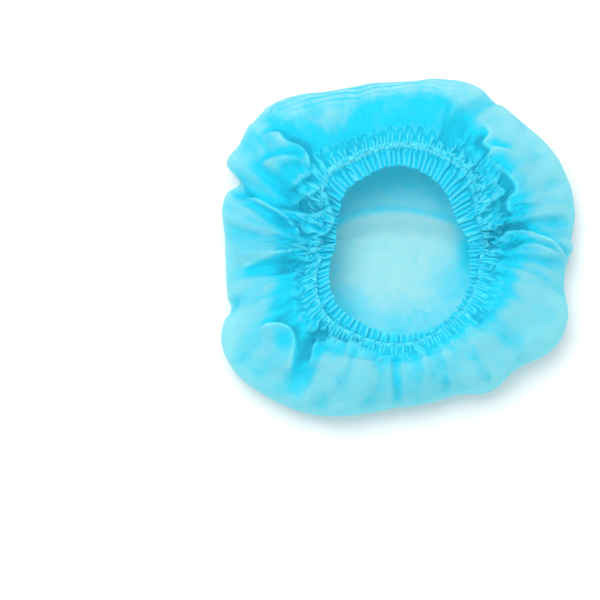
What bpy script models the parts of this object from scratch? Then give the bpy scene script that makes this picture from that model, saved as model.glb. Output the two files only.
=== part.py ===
"""Disposable gathered cap, opened and lying on its crown with its opening up.

The cap is one sheet of thin cloth. It lies flat under the crown, swells out to a rim,
rolls over in a billow, is drawn in by two elastic strands along an oval gather line,
and ends in a pleated frill round the opening. The pleats are bonded into a small
stack at each side, where the front and back halves meet.

Metres, +Z up, +X to the wearer's one side and +Y to the back billow. The crown rests
on z = 0 and the cap's box is centred on the origin. Bearings are degrees round +Z,
0 at +X and 90 at +Y.
"""

import functools
import math

import bmesh
import bpy
import numpy as np

# Cloth
CAP_WIDTH = 0.300
CAP_DEPTH = 0.291
CAP_HEIGHT = 0.067
CLOTH_WALL = 0.0010
CROWN_FLAT = 0.185
CROWN_CURL = 1.15

# Opening
RING_WIDTH = 0.144
RING_LENGTH = 0.174
RING_HEIGHT = 0.836 * CAP_HEIGHT
RING_OFFSET_X = 0.001
RING_OFFSET_Y = -0.007
FRILL_WIDTH = 0.018
PLEAT_PITCH = 0.0080
PLEAT_DEPTH = 0.0034
GATHER_DEPTH = 0.0020
GATHER_FADE_SHARE = 0.30

# Folds
FOLD_DEPTH = 0.010
FOLD_WIDTH = 0.024
FOLD_RISE_SHARE = 0.35
FOLD_FALL_SHARE = 0.25
SLACK_HEIGHT = 0.012
SLACK_THICKNESS = 0.028
SLACK_WIDTH = 0.130
SLACK_SAG = 0.014
SLACK_PLACE = 0.030
SLACK_TAPER = 0.5

# Elastic and bonds
ELASTIC_WIDTH = 0.0032
ELASTIC_THICKNESS = 0.0010
BOND_LENGTH = 0.015
BOND_WIDTH = 0.010
BOND_LAYER = 0.0008
BOND_LAYERS = 3
BOND_FOLD = 0.0005
BOND_OUTER_SHARE = 0.35
BAR_COUNT = 3
BAR_HEIGHT = 0.0004
BAR_TAPER = 0.15
CLEARANCE = 0.0003

# Bearings in degrees: the bonds, and how far and how widely they draw the pleats in
BOND_BEARINGS = {"left": 178.0, "right": 5.0}
BOND_PULL = 4.0
BOND_SPREAD = 60.0

# Outline seen from above: bearing, reach as a share of the cap's half size there
OUTLINE = (
    (0, 0.965), (12, 1.015), (29, 1.026), (42, 0.994), (54, 0.996), (66, 1.020),
    (78, 0.985), (92, 0.938), (104, 0.960), (116, 0.990), (128, 1.080), (140, 1.145),
    (150, 1.126), (156, 1.140), (160, 1.050), (165, 1.082), (178, 1.045),
    (190, 1.052), (199, 1.092), (206, 1.190), (215, 1.222), (228, 1.170),
    (240, 1.110), (252, 1.022), (264, 0.945), (278, 0.915), (290, 0.910),
    (300, 0.968), (313, 0.960), (328, 1.048), (336, 1.030), (346, 0.950),
)

# Lift of the billow: bearing, share of the cap's height that the billow reaches
BILLOW_LIFT = (
    (5, 0.80), (30, 0.95), (62, 0.90), (90, 1.00), (118, 0.93), (140, 1.00),
    (160, 0.86), (178, 0.78), (200, 0.86), (225, 0.90), (250, 0.98), (275, 0.93),
    (300, 0.98), (330, 0.94),
)

# Gather line and frill: bearing, reach as a share of the ring's half size, height as
# a share of RING_HEIGHT, frill width as a share of FRILL_WIDTH, rise of the frill
# towards the opening in degrees
MOUTH = (
    (5, 0.950, 0.86, 0.60, -12.0),
    (28, 0.975, 0.98, 1.15, 4.0),
    (48, 1.080, 1.05, 1.60, 10.0),
    (68, 1.030, 1.05, 1.35, 12.0),
    (92, 1.010, 1.05, 1.10, 10.0),
    (118, 1.030, 1.05, 1.10, 8.0),
    (136, 1.120, 1.02, 1.25, 6.0),
    (152, 1.020, 0.97, 0.95, 2.0),
    (166, 0.930, 0.90, 0.65, -4.0),
    (180, 0.900, 0.86, 0.50, -8.0),
    (200, 1.050, 0.94, 0.72, 2.0),
    (222, 1.120, 1.00, 0.80, 4.0),
    (245, 1.030, 1.00, 0.75, -6.0),
    (270, 0.980, 0.98, 0.70, -22.0),
    (296, 0.960, 0.98, 0.65, -45.0),
    (325, 0.970, 0.96, 0.65, -50.0),
    (348, 0.960, 0.90, 0.60, -30.0),
)

# Cloth from the rim in to the gather line: station from rim 1 to line 2, share of
# the way out from the line to the rim, share of the billow's height
BILLOW_PROFILE = (
    (1.00, 1.000, 0.40), (1.12, 0.985, 0.57), (1.24, 0.915, 0.73),
    (1.36, 0.795, 0.87), (1.48, 0.645, 0.96), (1.60, 0.480, 1.00),
    (1.72, 0.320, 0.985), (1.84, 0.165, 0.930), (2.00, 0.000, 0.00),
)

# Folds in the billow: bearing at the rim, bearing at the gather line, station where
# it starts and where it ends, half width and depth as shares of FOLD_WIDTH and
# FOLD_DEPTH, a depth below zero for a furrow and above zero for a ridge
FOLDS = (
    (159, 176, 0.80, 2.00, 0.34, -1.00),
    (169, 181, 1.00, 1.95, 0.30, 0.40),
    (150, 160, 1.30, 2.00, 0.42, -0.65),
    (141, 134, 0.90, 1.90, 0.50, -0.55),
    (108, 116, 1.15, 1.95, 0.90, -0.42),
    (92, 92, 1.10, 1.70, 0.90, 0.18),
    (56, 68, 0.95, 1.95, 0.50, -0.75),
    (38, 44, 1.20, 1.90, 0.80, 0.20),
    (20, 22, 1.10, 1.90, 0.40, -0.35),
    (7, 8, 1.05, 2.00, 0.30, -0.70),
    (358, 3, 0.95, 1.85, 0.26, 0.55),
    (350, 358, 1.10, 1.95, 0.46, -0.60),
    (336, 344, 1.05, 1.80, 0.55, 0.25),
    (318, 316, 1.25, 1.98, 0.60, -0.60),
    (301, 300, 1.00, 1.80, 0.36, -0.28),
    (286, 287, 0.95, 1.75, 0.26, -0.24),
    (267, 266, 0.90, 1.90, 0.26, -0.42),
    (249, 252, 1.15, 1.95, 0.90, 0.30),
    (232, 219, 1.15, 2.00, 0.55, -1.10),
    (210, 206, 1.05, 1.70, 0.80, 0.28),
    (199, 200, 0.85, 1.35, 0.36, -0.40),
    (188, 194, 1.20, 2.00, 0.55, -0.85),
)

# Waves that the gathers run out into: columns in one wave, station where the wave is
# deepest, how far it reaches each way, depth as a share of GATHER_DEPTH
GATHER_WAVES = (
    (4, 1.74, 0.30, 0.55),
    (8, 1.52, 0.34, 0.70),
)

# Rows of the mesh, by station: crown 0 to 1, billow 1 to 2, frill 2 to 3. The first
# table's rows have half the columns of the second's.
CROWN_ROWS = (0.07, 0.13, 0.19, 0.25, 0.31, 0.37, 0.45, 0.54, 0.62)
BILLOW_ROWS = (
    0.70, 0.78, 0.86, 0.93, 1.00, 1.10, 1.20, 1.32, 1.44, 1.56, 1.68, 1.80, 1.90,
    2.00, 2.50, 3.00,
)
LINE_ROW = BILLOW_ROWS.index(2.00)
SLOPE_STEP_SHARE = 0.01
SLOPE_TURN = 0.5
SEARCH_TURN = 0.05
ELASTIC_SECTIONS = 40
SOFT_EDGE = 50.0
HARD_EDGE = 40.0

COLOURS = {
    "cloth": (0.075, 0.590, 0.800, 1.0),
    "elastic": (0.640, 0.860, 0.900, 1.0),
    "bond": (0.030, 0.430, 0.680, 1.0),
}


def hermite(knots, values, at):
    """Values of a smooth curve through the knots, with the slope of its neighbours."""
    slopes = np.gradient(values, knots)
    index = np.clip(np.searchsorted(knots, at, side="right") - 1, 0, len(knots) - 2)
    span = knots[index + 1] - knots[index]
    t = (at - knots[index]) / span
    return (
        values[index] * (1 + 2 * t) * (1 - t) ** 2
        + slopes[index] * span * t * (1 - t) ** 2
        + values[index + 1] * t * t * (3 - 2 * t)
        + slopes[index + 1] * span * t * t * (t - 1)
    )


def round_table(table, column, bearing):
    """A column of a table by bearing, read as a smooth closed curve."""
    knots = np.array([row[0] for row in table], float)
    values = np.array([row[column] for row in table], float)
    knots = np.concatenate([knots[-3:] - 360, knots, knots[:3] + 360])
    values = np.concatenate([values[-3:], values, values[:3]])
    return hermite(knots, values, np.mod(bearing, 360.0))


def smooth_step(low, high, at):
    """0 below low, 1 above high, and an eased rise between them."""
    t = np.clip((at - low) / (high - low), 0, 1)
    return t * t * (3 - 2 * t)


def hump(distance):
    """A round bump: 1 in the middle, exactly 0 from 1 outwards."""
    return np.clip(1 - distance * distance, 0, None) ** 2


def half_size(width, length, bearing):
    """Reach of an oval of that width and length at a bearing."""
    angle = np.radians(bearing)
    return 1 / np.hypot(np.cos(angle) / (width / 2), np.sin(angle) / (length / 2))


def at_bearing(reach, bearing):
    """Points at a reach and bearing from the origin, in the floor plane."""
    angle = np.radians(bearing)
    return np.stack([reach * np.cos(angle), reach * np.sin(angle)], axis=-1)


def raw_outline(bearing):
    """Rim of the cap seen from above, for a cap of width 1, before it is centred."""
    reach = half_size(1, CAP_DEPTH / CAP_WIDTH, bearing) * round_table(OUTLINE, 1, bearing)
    return at_bearing(reach, bearing)


@functools.cache
def outline_fit():
    """The raw outline's middle, and what brings it to the cap's width and depth."""
    whole = raw_outline(np.arange(0.0, 360.0, 1.0))
    low, high = whole.min(axis=0), whole.max(axis=0)
    return (low + high) / 2, np.array([CAP_WIDTH, CAP_DEPTH]) / (high - low)


def outline(bearing):
    """Rim of the cap seen from above, sized to the cap's width and depth."""
    middle, size = outline_fit()
    return (raw_outline(bearing) - middle) * size


def gather_line(bearing):
    """The oval that the elastic draws the cloth in to, in space."""
    reach = half_size(RING_WIDTH, RING_LENGTH, bearing) * round_table(MOUTH, 1, bearing)
    flat = at_bearing(reach, bearing) + np.array([RING_OFFSET_X, RING_OFFSET_Y])
    height = RING_HEIGHT * round_table(MOUTH, 2, bearing)
    return np.concatenate([flat, height[..., None]], axis=-1)


def frill_slope(bearing):
    """The way from the gather line to the frill's edge, at its full length."""
    width = FRILL_WIDTH * round_table(MOUTH, 3, bearing)
    rise = np.radians(round_table(MOUTH, 4, bearing))
    inward = at_bearing(-width * np.cos(rise), bearing)
    return np.concatenate([inward, (width * np.sin(rise))[..., None]], axis=-1)


def crown_part(bearing, station):
    """Cloth from the middle of the crown, station 0, out to the rim, station 1."""
    rim = outline(bearing)
    rim_height = CAP_HEIGHT * BILLOW_PROFILE[0][2] * round_table(BILLOW_LIFT, 1, bearing)
    flat_share = CROWN_FLAT / min(CAP_WIDTH, CAP_DEPTH)
    turn = np.clip((station - flat_share) / (1 - flat_share), 0, 1) * math.pi / 2
    out = np.where(
        station < flat_share,
        station,
        flat_share + (1 - flat_share) * np.sin(turn),
    )
    height = rim_height * (1 - np.cos(turn)) ** CROWN_CURL
    return np.concatenate([rim * out[..., None], height[..., None]], axis=-1)


def billow_part(bearing, station):
    """Cloth from the rim, station 1, over the billow to the gather line, station 2."""
    knots, out_share, up_share = (np.array(column) for column in zip(*BILLOW_PROFILE))
    lift = CAP_HEIGHT * round_table(BILLOW_LIFT, 1, bearing)
    line = gather_line(bearing)
    out = hermite(knots, out_share, station)
    up = hermite(knots, up_share, np.minimum(station, knots[-2]))
    up = up + (line[..., 2] / lift - up_share[-2]) * smooth_step(*knots[-2:], station)
    flat = line[..., :2] + (outline(bearing) - line[..., :2]) * out[..., None]
    return np.concatenate([flat, (lift * up)[..., None]], axis=-1)


def base_surface(bearing, station):
    """The smooth cap: crown 0 to 1, billow 1 to 2, frill 2 to 3."""
    crown = crown_part(bearing, np.clip(station, 0, 1))
    billow = billow_part(bearing, np.clip(station, 1, 2))
    frill = gather_line(bearing) + frill_slope(bearing) * (station - 2)[..., None]
    picked = np.where((station <= 1)[..., None], crown, billow)
    return np.where((station > 2)[..., None], frill, picked)


def outward(bearing, station):
    """Unit normals of the smooth cap, pointing out of the cloth's outer side."""
    before = np.maximum(station - SLOPE_STEP_SHARE, SLOPE_STEP_SHARE)
    after = np.minimum(station + SLOPE_STEP_SHARE, 3.0)
    around = base_surface(bearing + SLOPE_TURN, station)
    around = around - base_surface(bearing - SLOPE_TURN, station)
    along = base_surface(bearing, after) - base_surface(bearing, before)
    normal = np.cross(around, along)
    return normal / np.linalg.norm(normal, axis=-1, keepdims=True)


def turn_between(start, end):
    """Degrees from one bearing to another, the short way round."""
    return (end - start + 180) % 360 - 180


def fold_relief(bearing, station):
    """How far the folds push the cloth out, or in where it is below zero."""
    reach = np.linalg.norm(base_surface(bearing, station)[..., :2], axis=-1)
    inward = np.clip(station - 1, 0, 1)
    relief = np.zeros_like(reach)
    for rim_bearing, line_bearing, start, end, width, depth in FOLDS:
        middle = rim_bearing + turn_between(rim_bearing, line_bearing) * inward
        off = np.radians(turn_between(middle, bearing)) * reach
        length = end - start
        rise = smooth_step(start, start + FOLD_RISE_SHARE * length, station)
        fall = 1 - smooth_step(end - FOLD_FALL_SHARE * length, end, station)
        relief += FOLD_DEPTH * depth * hump(off / (FOLD_WIDTH * width)) * rise * fall
    return relief


def slack_relief(place):
    """Height of the tuck where the slack crown folds up inside the cap."""
    along = place[..., 0] / (SLACK_WIDTH / 2)
    across = place[..., 1] - SLACK_PLACE + SLACK_SAG * along * along
    tuck = hump(across / (SLACK_THICKNESS / 2)) * hump(along) ** SLACK_TAPER
    return SLACK_HEIGHT * tuck


def gather_depths(station):
    """Half depths at a station: of the pleats, then of each row of GATHER_WAVES."""
    at_line = hump((np.minimum(station, 2) - 2) / GATHER_FADE_SHARE)
    depth = GATHER_DEPTH + (PLEAT_DEPTH - GATHER_DEPTH) * np.clip(station - 2, 0, 1)
    waves = [
        GATHER_DEPTH * share * hump((station - deepest) / spread)
        for _, deepest, spread, share in GATHER_WAVES
    ]
    return depth / 2 * at_line, waves


def gather_relief(column, station):
    """Waves of the gathers, by column of cloth, fading out from the gather line."""
    pleats, waves = gather_depths(station)
    relief = np.where(np.mod(column, 2) < 1, 1.0, -1.0) * pleats
    for (columns, _, _, _), depth in zip(GATHER_WAVES, waves):
        relief += depth * np.sin(2 * math.pi * (column + 0.5) / columns)
    return relief


def ridge_tops(bearing, station):
    """Where the gathers' ridges reach at a bearing and a station."""
    pleats, waves = gather_depths(station)
    relief = fold_relief(bearing, station) + pleats + sum(waves)
    return base_surface(bearing, station) + outward(bearing, station) * relief[..., None]


def cloth(bearing, station, column):
    """The cloth's outer side at a bearing, a station and a column of the gathers."""
    base = base_surface(bearing, station)
    relief = fold_relief(bearing, station) + gather_relief(column, station)
    placed = base + outward(bearing, station) * relief[..., None]
    placed[..., 2] += np.where(station < 1, slack_relief(base), 0)
    placed[..., 2] = np.maximum(placed[..., 2], 0)
    return placed


@functools.cache
def pleat_count():
    """Pleats round the gather line, in fours so that the crown can halve them."""
    line = gather_line(np.arange(0.0, 361.0, 1.0))
    length = np.linalg.norm(np.diff(line, axis=0), axis=1).sum()
    return 4 * max(4, round(length / PLEAT_PITCH / 4))


def column_bearings(count):
    """Bearings of the columns of cloth, drawn together at the bonded sides."""
    even = np.arange(count) * 360.0 / count
    drawn = even.copy()
    for bearing in BOND_BEARINGS.values():
        away = turn_between(bearing, even)
        drawn -= BOND_PULL * np.sin(np.radians(away)) * hump(away / BOND_SPREAD)
    return drawn


def material(name):
    """A Principled material for one of the cap's finishes."""
    made = bpy.data.materials.new(name)
    made.use_nodes = True
    shader = made.node_tree.nodes["Principled BSDF"]
    shader.inputs["Base Color"].default_value = COLOURS[name]
    shader.inputs["Roughness"].default_value = 0.75
    shader.inputs["Metallic"].default_value = 0.0
    return made


def add_object(name, mesh, finish):
    """Link a mesh as an object with its material."""
    made = bpy.data.objects.new(name, mesh)
    bpy.context.collection.objects.link(made)
    made.data.materials.append(finish)
    return made


def shade(mesh, angle):
    """Smooth shading with edges sharper than the angle kept."""
    mesh.shade_smooth()
    mesh.set_sharp_from_angle(angle=math.radians(angle))


def add_band(made, inner, outer):
    """Faces between two rings of vertices, the outer with as many or twice as many."""
    count = len(inner)
    for i in range(count):
        a, b = inner[i], inner[(i + 1) % count]
        if len(outer) == count:
            made.faces.new((a, b, outer[(i + 1) % count], outer[i]))
            continue
        c, d, e = outer[2 * i], outer[2 * i + 1], outer[(2 * i + 2) % len(outer)]
        made.faces.new((a, d, c))
        made.faces.new((a, b, d))
        made.faces.new((b, e, d))


def make_cap_body(finish):
    """The whole cloth: rings of columns, half as many under the crown."""
    columns = np.arange(2 * pleat_count())
    bearings = column_bearings(len(columns))
    made = bmesh.new()

    def ring(row, numbers):
        places = cloth(bearings[numbers], np.full(len(numbers), row), numbers)
        return [made.verts.new(place) for place in places]

    rings = [ring(row, columns[::2]) for row in CROWN_ROWS]
    rings += [ring(row, columns) for row in BILLOW_ROWS]
    middle = made.verts.new((0, 0, float(slack_relief(np.zeros((1, 3)))[0])))
    for i, vert in enumerate(rings[0]):
        made.faces.new((middle, rings[0][(i + 1) % len(rings[0])], vert))
    for inner, outer in zip(rings, rings[1:]):
        add_band(made, inner, outer)
    mesh = bpy.data.meshes.new("cap_body")
    made.to_mesh(mesh)
    made.free()
    shade(mesh, SOFT_EDGE)
    body = add_object("cap_body", mesh, finish)
    wall = body.modifiers.new("wall", "SOLIDIFY")
    wall.thickness = CLOTH_WALL
    wall.offset = -1


def unit(way):
    """A vector of length 1 the same way."""
    return way / np.linalg.norm(way)


def seat(bearing, before, after, aside):
    """Where a piece lies on the gather line at a bearing.

    Gives the point on the line, the way along it, the way in to the opening, the way
    up off the cloth, and how high over the point the ridges reach under a piece that
    spans that far before and after the line and that many degrees to each side.
    """
    turns = bearing + aside * np.linspace(-1, 1, 9)
    stations = BILLOW_ROWS[LINE_ROW - 1], BILLOW_ROWS[LINE_ROW], BILLOW_ROWS[LINE_ROW + 1]
    rows = [base_surface(turns, np.full(turns.shape, at)) for at in stations]
    tops = [ridge_tops(turns, np.full(turns.shape, at)) for at in stations]
    outer, point, inner = (row[len(turns) // 2] for row in rows)
    inner_way = unit(unit(inner - point) + unit(point - outer))
    near = bearing + np.array([-SLOPE_TURN, SLOPE_TURN])
    ahead = np.diff(gather_line(near), axis=0)[0]
    up = unit(np.cross(ahead, inner_way))
    ahead = np.cross(inner_way, up)
    outer_top, top, inner_top = ((row - point) @ up for row in tops)
    before_share = before / np.linalg.norm(rows[0] - rows[1], axis=1)
    after_share = after / np.linalg.norm(rows[2] - rows[1], axis=1)
    height = max(
        top.max(),
        (top + (outer_top - top) * before_share).max(),
        (top + (inner_top - top) * after_share).max(),
    )
    return point, ahead, inner_way, up, height


def elastic_section(bearing):
    """The four corners of an elastic strand across a bearing."""
    half = ELASTIC_WIDTH / 2
    pleat = 360 / pleat_count()
    point, _, inner_way, up, height = seat(bearing, half, half, pleat)
    low = point + up * (height + CLEARANCE)
    high = low + up * ELASTIC_THICKNESS
    return (
        low - inner_way * half, low + inner_way * half,
        high + inner_way * half, high - inner_way * half,
    )


def bond_seat(bearing):
    """Where a bond lies, over the ridges under the whole of it."""
    back = BOND_LENGTH * BOND_OUTER_SHARE
    reach = half_size(RING_WIDTH, RING_LENGTH, bearing)
    aside = math.degrees((BOND_WIDTH / 2 + BOND_FOLD) / reach)
    return seat(bearing, back, BOND_LENGTH - back, aside)


def past_bond(bond_bearing, way):
    """Bearing, going that way round, where the elastic just clears a bond's side."""
    foot, ahead, _, _, _ = bond_seat(bond_bearing)
    room = BOND_WIDTH / 2 + BOND_FOLD + CLEARANCE
    bearing, clear = bond_bearing, -1.0
    while clear < room:
        bearing += way * SEARCH_TURN
        corners = elastic_section(bearing)
        clear = min(way * float((corner - foot) @ ahead) for corner in corners)
    return bearing


def add_sweep(made, sections):
    """A closed solid through a list of rings of vertices. Gives its side faces."""
    sides = []
    for first, second in zip(sections, sections[1:]):
        for i in range(len(first)):
            j = (i + 1) % len(first)
            sides.append(made.faces.new((first[i], first[j], second[j], second[i])))
    made.faces.new(sections[0][::-1])
    made.faces.new(sections[-1])
    return sides


def finish_solid(name, made, finish):
    """Turn a closed bmesh the right way out and make it an object."""
    bmesh.ops.recalc_face_normals(made, faces=made.faces)
    mesh = bpy.data.meshes.new(name)
    made.to_mesh(mesh)
    made.free()
    shade(mesh, HARD_EDGE)
    add_object(name, mesh, finish)


def make_elastic(name, start, end, finish):
    """A flat strand laid along the gather line from one bond to the other."""
    made = bmesh.new()
    ends = past_bond(start, 1), past_bond(end, -1)
    sections = [
        [made.verts.new(corner) for corner in elastic_section(bearing)]
        for bearing in np.linspace(*ends, ELASTIC_SECTIONS)
    ]
    add_sweep(made, sections)
    finish_solid(name, made, finish)


def bond_outline():
    """Across and up, round a bond's section: the folded edges of its layers."""
    side = []
    for layer in range(BOND_LAYERS):
        side.append((BOND_WIDTH / 2, layer * BOND_LAYER))
        side.append((BOND_WIDTH / 2 + BOND_FOLD, (layer + 0.5) * BOND_LAYER))
    side.append((BOND_WIDTH / 2, BOND_LAYERS * BOND_LAYER))
    return side + [(-across, high) for across, high in reversed(side)]


def make_bond(name, bearing, finish):
    """A welded stack of pleats: folded edges down its sides, weld bars on its top."""
    point, ahead, inner_way, up, height = bond_seat(bearing)
    foot = point + up * (height + CLEARANCE)
    section, strips = bond_outline(), 2 * BAR_COUNT + 1
    made = bmesh.new()
    sections = []
    for i in range(strips + 1):
        along = BOND_LENGTH * (i / strips - BOND_OUTER_SHARE)
        sections.append([
            made.verts.new(foot + ahead * across + up * high + inner_way * along)
            for across, high in section
        ])
    sides = add_sweep(made, sections)
    top = len(section) // 2 - 1
    bars = [sides[strip * len(section) + top] for strip in range(1, strips, 2)]
    raised = bmesh.ops.extrude_discrete_faces(made, faces=bars)["faces"]
    for face in raised:
        middle = np.array(face.calc_center_median())
        for vert in face.verts:
            place = np.array(vert.co)
            vert.co = place + (middle - place) * BAR_TAPER + up * BAR_HEIGHT
    finish_solid(name, made, finish)


def main():
    """Build every piece in an empty scene."""
    for old in list(bpy.data.objects):
        bpy.data.objects.remove(old, do_unlink=True)
    finishes = {name: material(name) for name in COLOURS}
    make_cap_body(finishes["cloth"])
    left, right = BOND_BEARINGS["left"], BOND_BEARINGS["right"]
    make_elastic("elastic_back", right, left, finishes["elastic"])
    make_elastic("elastic_front", left, right + 360, finishes["elastic"])
    for side, bearing in BOND_BEARINGS.items():
        make_bond(f"end_bond_{side}", bearing, finishes["bond"])


main()
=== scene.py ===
"""Looks of a disposable gathered cap, opened and lying on its crown, opening up.

The cap is one round sheet of thin blue non-woven. An elastic draws it in along an oval
line, a pleated frill stands inside the line, and the sheet swells out in a billow all
round. The pleats are bonded into a small stack at each side.

Metres, +Z up, +X to the right bonded side, +Y over the back billow. Bearings are
degrees round +Z, 0 at +X and 90 at +Y. A station says where along the sheet a point
lies: crown 0 to 1, billow 1 to 2, frill 2 to 3.
"""

import functools
import logging
import math
from dataclasses import dataclass
from enum import Enum

import bpy
import numpy as np
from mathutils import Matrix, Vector


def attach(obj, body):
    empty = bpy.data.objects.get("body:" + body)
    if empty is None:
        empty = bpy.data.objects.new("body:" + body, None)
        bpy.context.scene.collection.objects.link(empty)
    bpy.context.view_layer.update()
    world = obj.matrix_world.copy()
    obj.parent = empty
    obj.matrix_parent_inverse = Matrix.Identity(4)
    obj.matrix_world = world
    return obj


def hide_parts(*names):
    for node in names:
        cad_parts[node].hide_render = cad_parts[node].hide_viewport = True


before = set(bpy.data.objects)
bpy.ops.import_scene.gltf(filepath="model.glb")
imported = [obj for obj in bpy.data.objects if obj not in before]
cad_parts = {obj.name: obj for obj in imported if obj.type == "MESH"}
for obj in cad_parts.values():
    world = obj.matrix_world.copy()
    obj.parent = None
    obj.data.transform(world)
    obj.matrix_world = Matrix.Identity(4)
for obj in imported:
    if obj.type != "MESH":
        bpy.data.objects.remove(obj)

LOG = logging.getLogger("cap")

# Units: a millimetre in metres, and millimetres in a metre
MILLIMETRE = 0.001
PER_METRE = 1000

# Stations: the rim, the gather line and the frill's edge
RIM = 1
LINE = 2
FRILL_EDGE = 3

# Closed curves: values that are repeated past each end
WRAP = 3

# Clouds: waves that make one up, and their lengths as shares of its size
WAVES = 16
WAVE_SPAN = (0.7, 1.5)

# Laps: steps of an edge from one of its points to the next
EDGE_STEPS = 4

# Solver: passes of a blur, and what keeps an edge's and a vector's length off zero
BLUR_PASSES = 2
LEAST_EDGE = 1e-9
LEAST_LENGTH = 1e-12

# Outline seen from above: bearing, reach as a share of the cap's half size there
OUTLINE = (
    (0, 0.965), (12, 1.015), (29, 1.026), (42, 0.994), (54, 0.996), (66, 1.020),
    (78, 0.985), (92, 0.938), (104, 0.960), (116, 0.990), (128, 1.080), (140, 1.145),
    (150, 1.126), (156, 1.140), (160, 1.050), (165, 1.082), (178, 1.045),
    (190, 1.052), (199, 1.092), (206, 1.190), (215, 1.222), (228, 1.170),
    (240, 1.110), (252, 1.022), (264, 0.945), (278, 0.915), (290, 0.910),
    (300, 0.968), (313, 0.960), (328, 1.048), (336, 1.030), (346, 0.950),
)

# Lift of the billow: bearing, share of the cap's height that the billow reaches
BILLOW_LIFT = (
    (5, 0.80), (30, 0.95), (62, 0.90), (90, 1.00), (118, 0.93), (140, 1.00),
    (160, 0.86), (178, 0.78), (200, 0.86), (225, 0.90), (250, 0.98), (275, 0.93),
    (300, 0.98), (330, 0.94),
)

# Gather line and frill: bearing, reach as a share of the ring's half size, height as
# a share of the ring's height, frill width as a share of the frill's width, rise of
# the frill towards the opening in degrees
MOUTH = (
    (5, 0.950, 0.86, 0.60, -12.0),
    (28, 0.975, 0.98, 1.15, 4.0),
    (48, 1.080, 1.05, 1.60, 10.0),
    (68, 1.030, 1.05, 1.35, 12.0),
    (92, 1.010, 1.05, 1.10, 10.0),
    (118, 1.030, 1.05, 1.10, 8.0),
    (136, 1.120, 1.02, 1.25, 6.0),
    (152, 1.020, 0.97, 0.95, 2.0),
    (166, 0.930, 0.90, 0.65, -4.0),
    (180, 0.900, 0.86, 0.50, -8.0),
    (200, 1.050, 0.94, 0.72, 2.0),
    (222, 1.120, 1.00, 0.80, 4.0),
    (245, 1.030, 1.00, 0.75, -6.0),
    (270, 0.980, 0.98, 0.70, -22.0),
    (296, 0.960, 0.98, 0.65, -45.0),
    (325, 0.970, 0.96, 0.65, -50.0),
    (348, 0.960, 0.90, 0.60, -30.0),
)

# Cloth from the rim in to the gather line: station from rim 1 to line 2, share of
# the way out from the line to the rim, share of the billow's height
BILLOW_PROFILE = (
    (1.00, 1.000, 0.40), (1.12, 0.985, 0.57), (1.24, 0.915, 0.73),
    (1.36, 0.795, 0.87), (1.48, 0.645, 0.96), (1.60, 0.480, 1.00),
    (1.72, 0.320, 0.985), (1.84, 0.165, 0.930), (2.00, 0.000, 0.00),
)

# Folds in the billow: bearing at the rim, bearing at the gather line, station where
# it starts and where it ends, half width and depth as shares of the fold's width and
# depth, a depth below zero for a furrow and above zero for a ridge
FOLDS = (
    (159, 176, 0.80, 2.00, 0.34, -1.00),
    (169, 181, 1.00, 1.95, 0.30, 0.40),
    (150, 160, 1.30, 2.00, 0.42, -0.65),
    (141, 134, 0.90, 1.90, 0.50, -0.55),
    (108, 116, 1.15, 1.95, 0.90, -0.42),
    (92, 92, 1.10, 1.70, 0.90, 0.18),
    (56, 68, 0.95, 1.95, 0.50, -0.75),
    (38, 44, 1.20, 1.90, 0.80, 0.20),
    (20, 22, 1.10, 1.90, 0.40, -0.35),
    (7, 8, 1.05, 2.00, 0.30, -0.70),
    (358, 3, 0.95, 1.85, 0.26, 0.55),
    (350, 358, 1.10, 1.95, 0.46, -0.60),
    (336, 344, 1.05, 1.80, 0.55, 0.25),
    (318, 316, 1.25, 1.98, 0.60, -0.60),
    (301, 300, 1.00, 1.80, 0.36, -0.28),
    (286, 287, 0.95, 1.75, 0.26, -0.24),
    (267, 266, 0.90, 1.90, 0.26, -0.42),
    (249, 252, 1.15, 1.95, 0.90, 0.30),
    (236, 226, 1.15, 2.00, 0.55, -1.10),
    (210, 206, 1.05, 1.70, 0.80, 0.28),
    (199, 200, 0.85, 1.35, 0.36, -0.40),
    (188, 194, 1.20, 2.00, 0.55, -0.85),
)

# Puckers by the bonded ends, written as the folds are
PUCKERS = (
    (184, 187, 1.30, 1.92, 0.22, 0.44),
    (192, 196, 1.26, 1.88, 0.26, 0.46),
    (202, 206, 1.40, 1.90, 0.26, 0.38),
    (72, 73, 1.50, 1.76, 0.26, 0.30),
    (352, 357, 1.22, 1.92, 0.22, 0.46),
    (341, 347, 1.38, 1.92, 0.26, 0.38),
    (246, 244, 1.50, 1.95, 0.24, 0.26),
    (280, 280, 1.36, 1.95, 0.26, 0.30),
)

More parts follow.
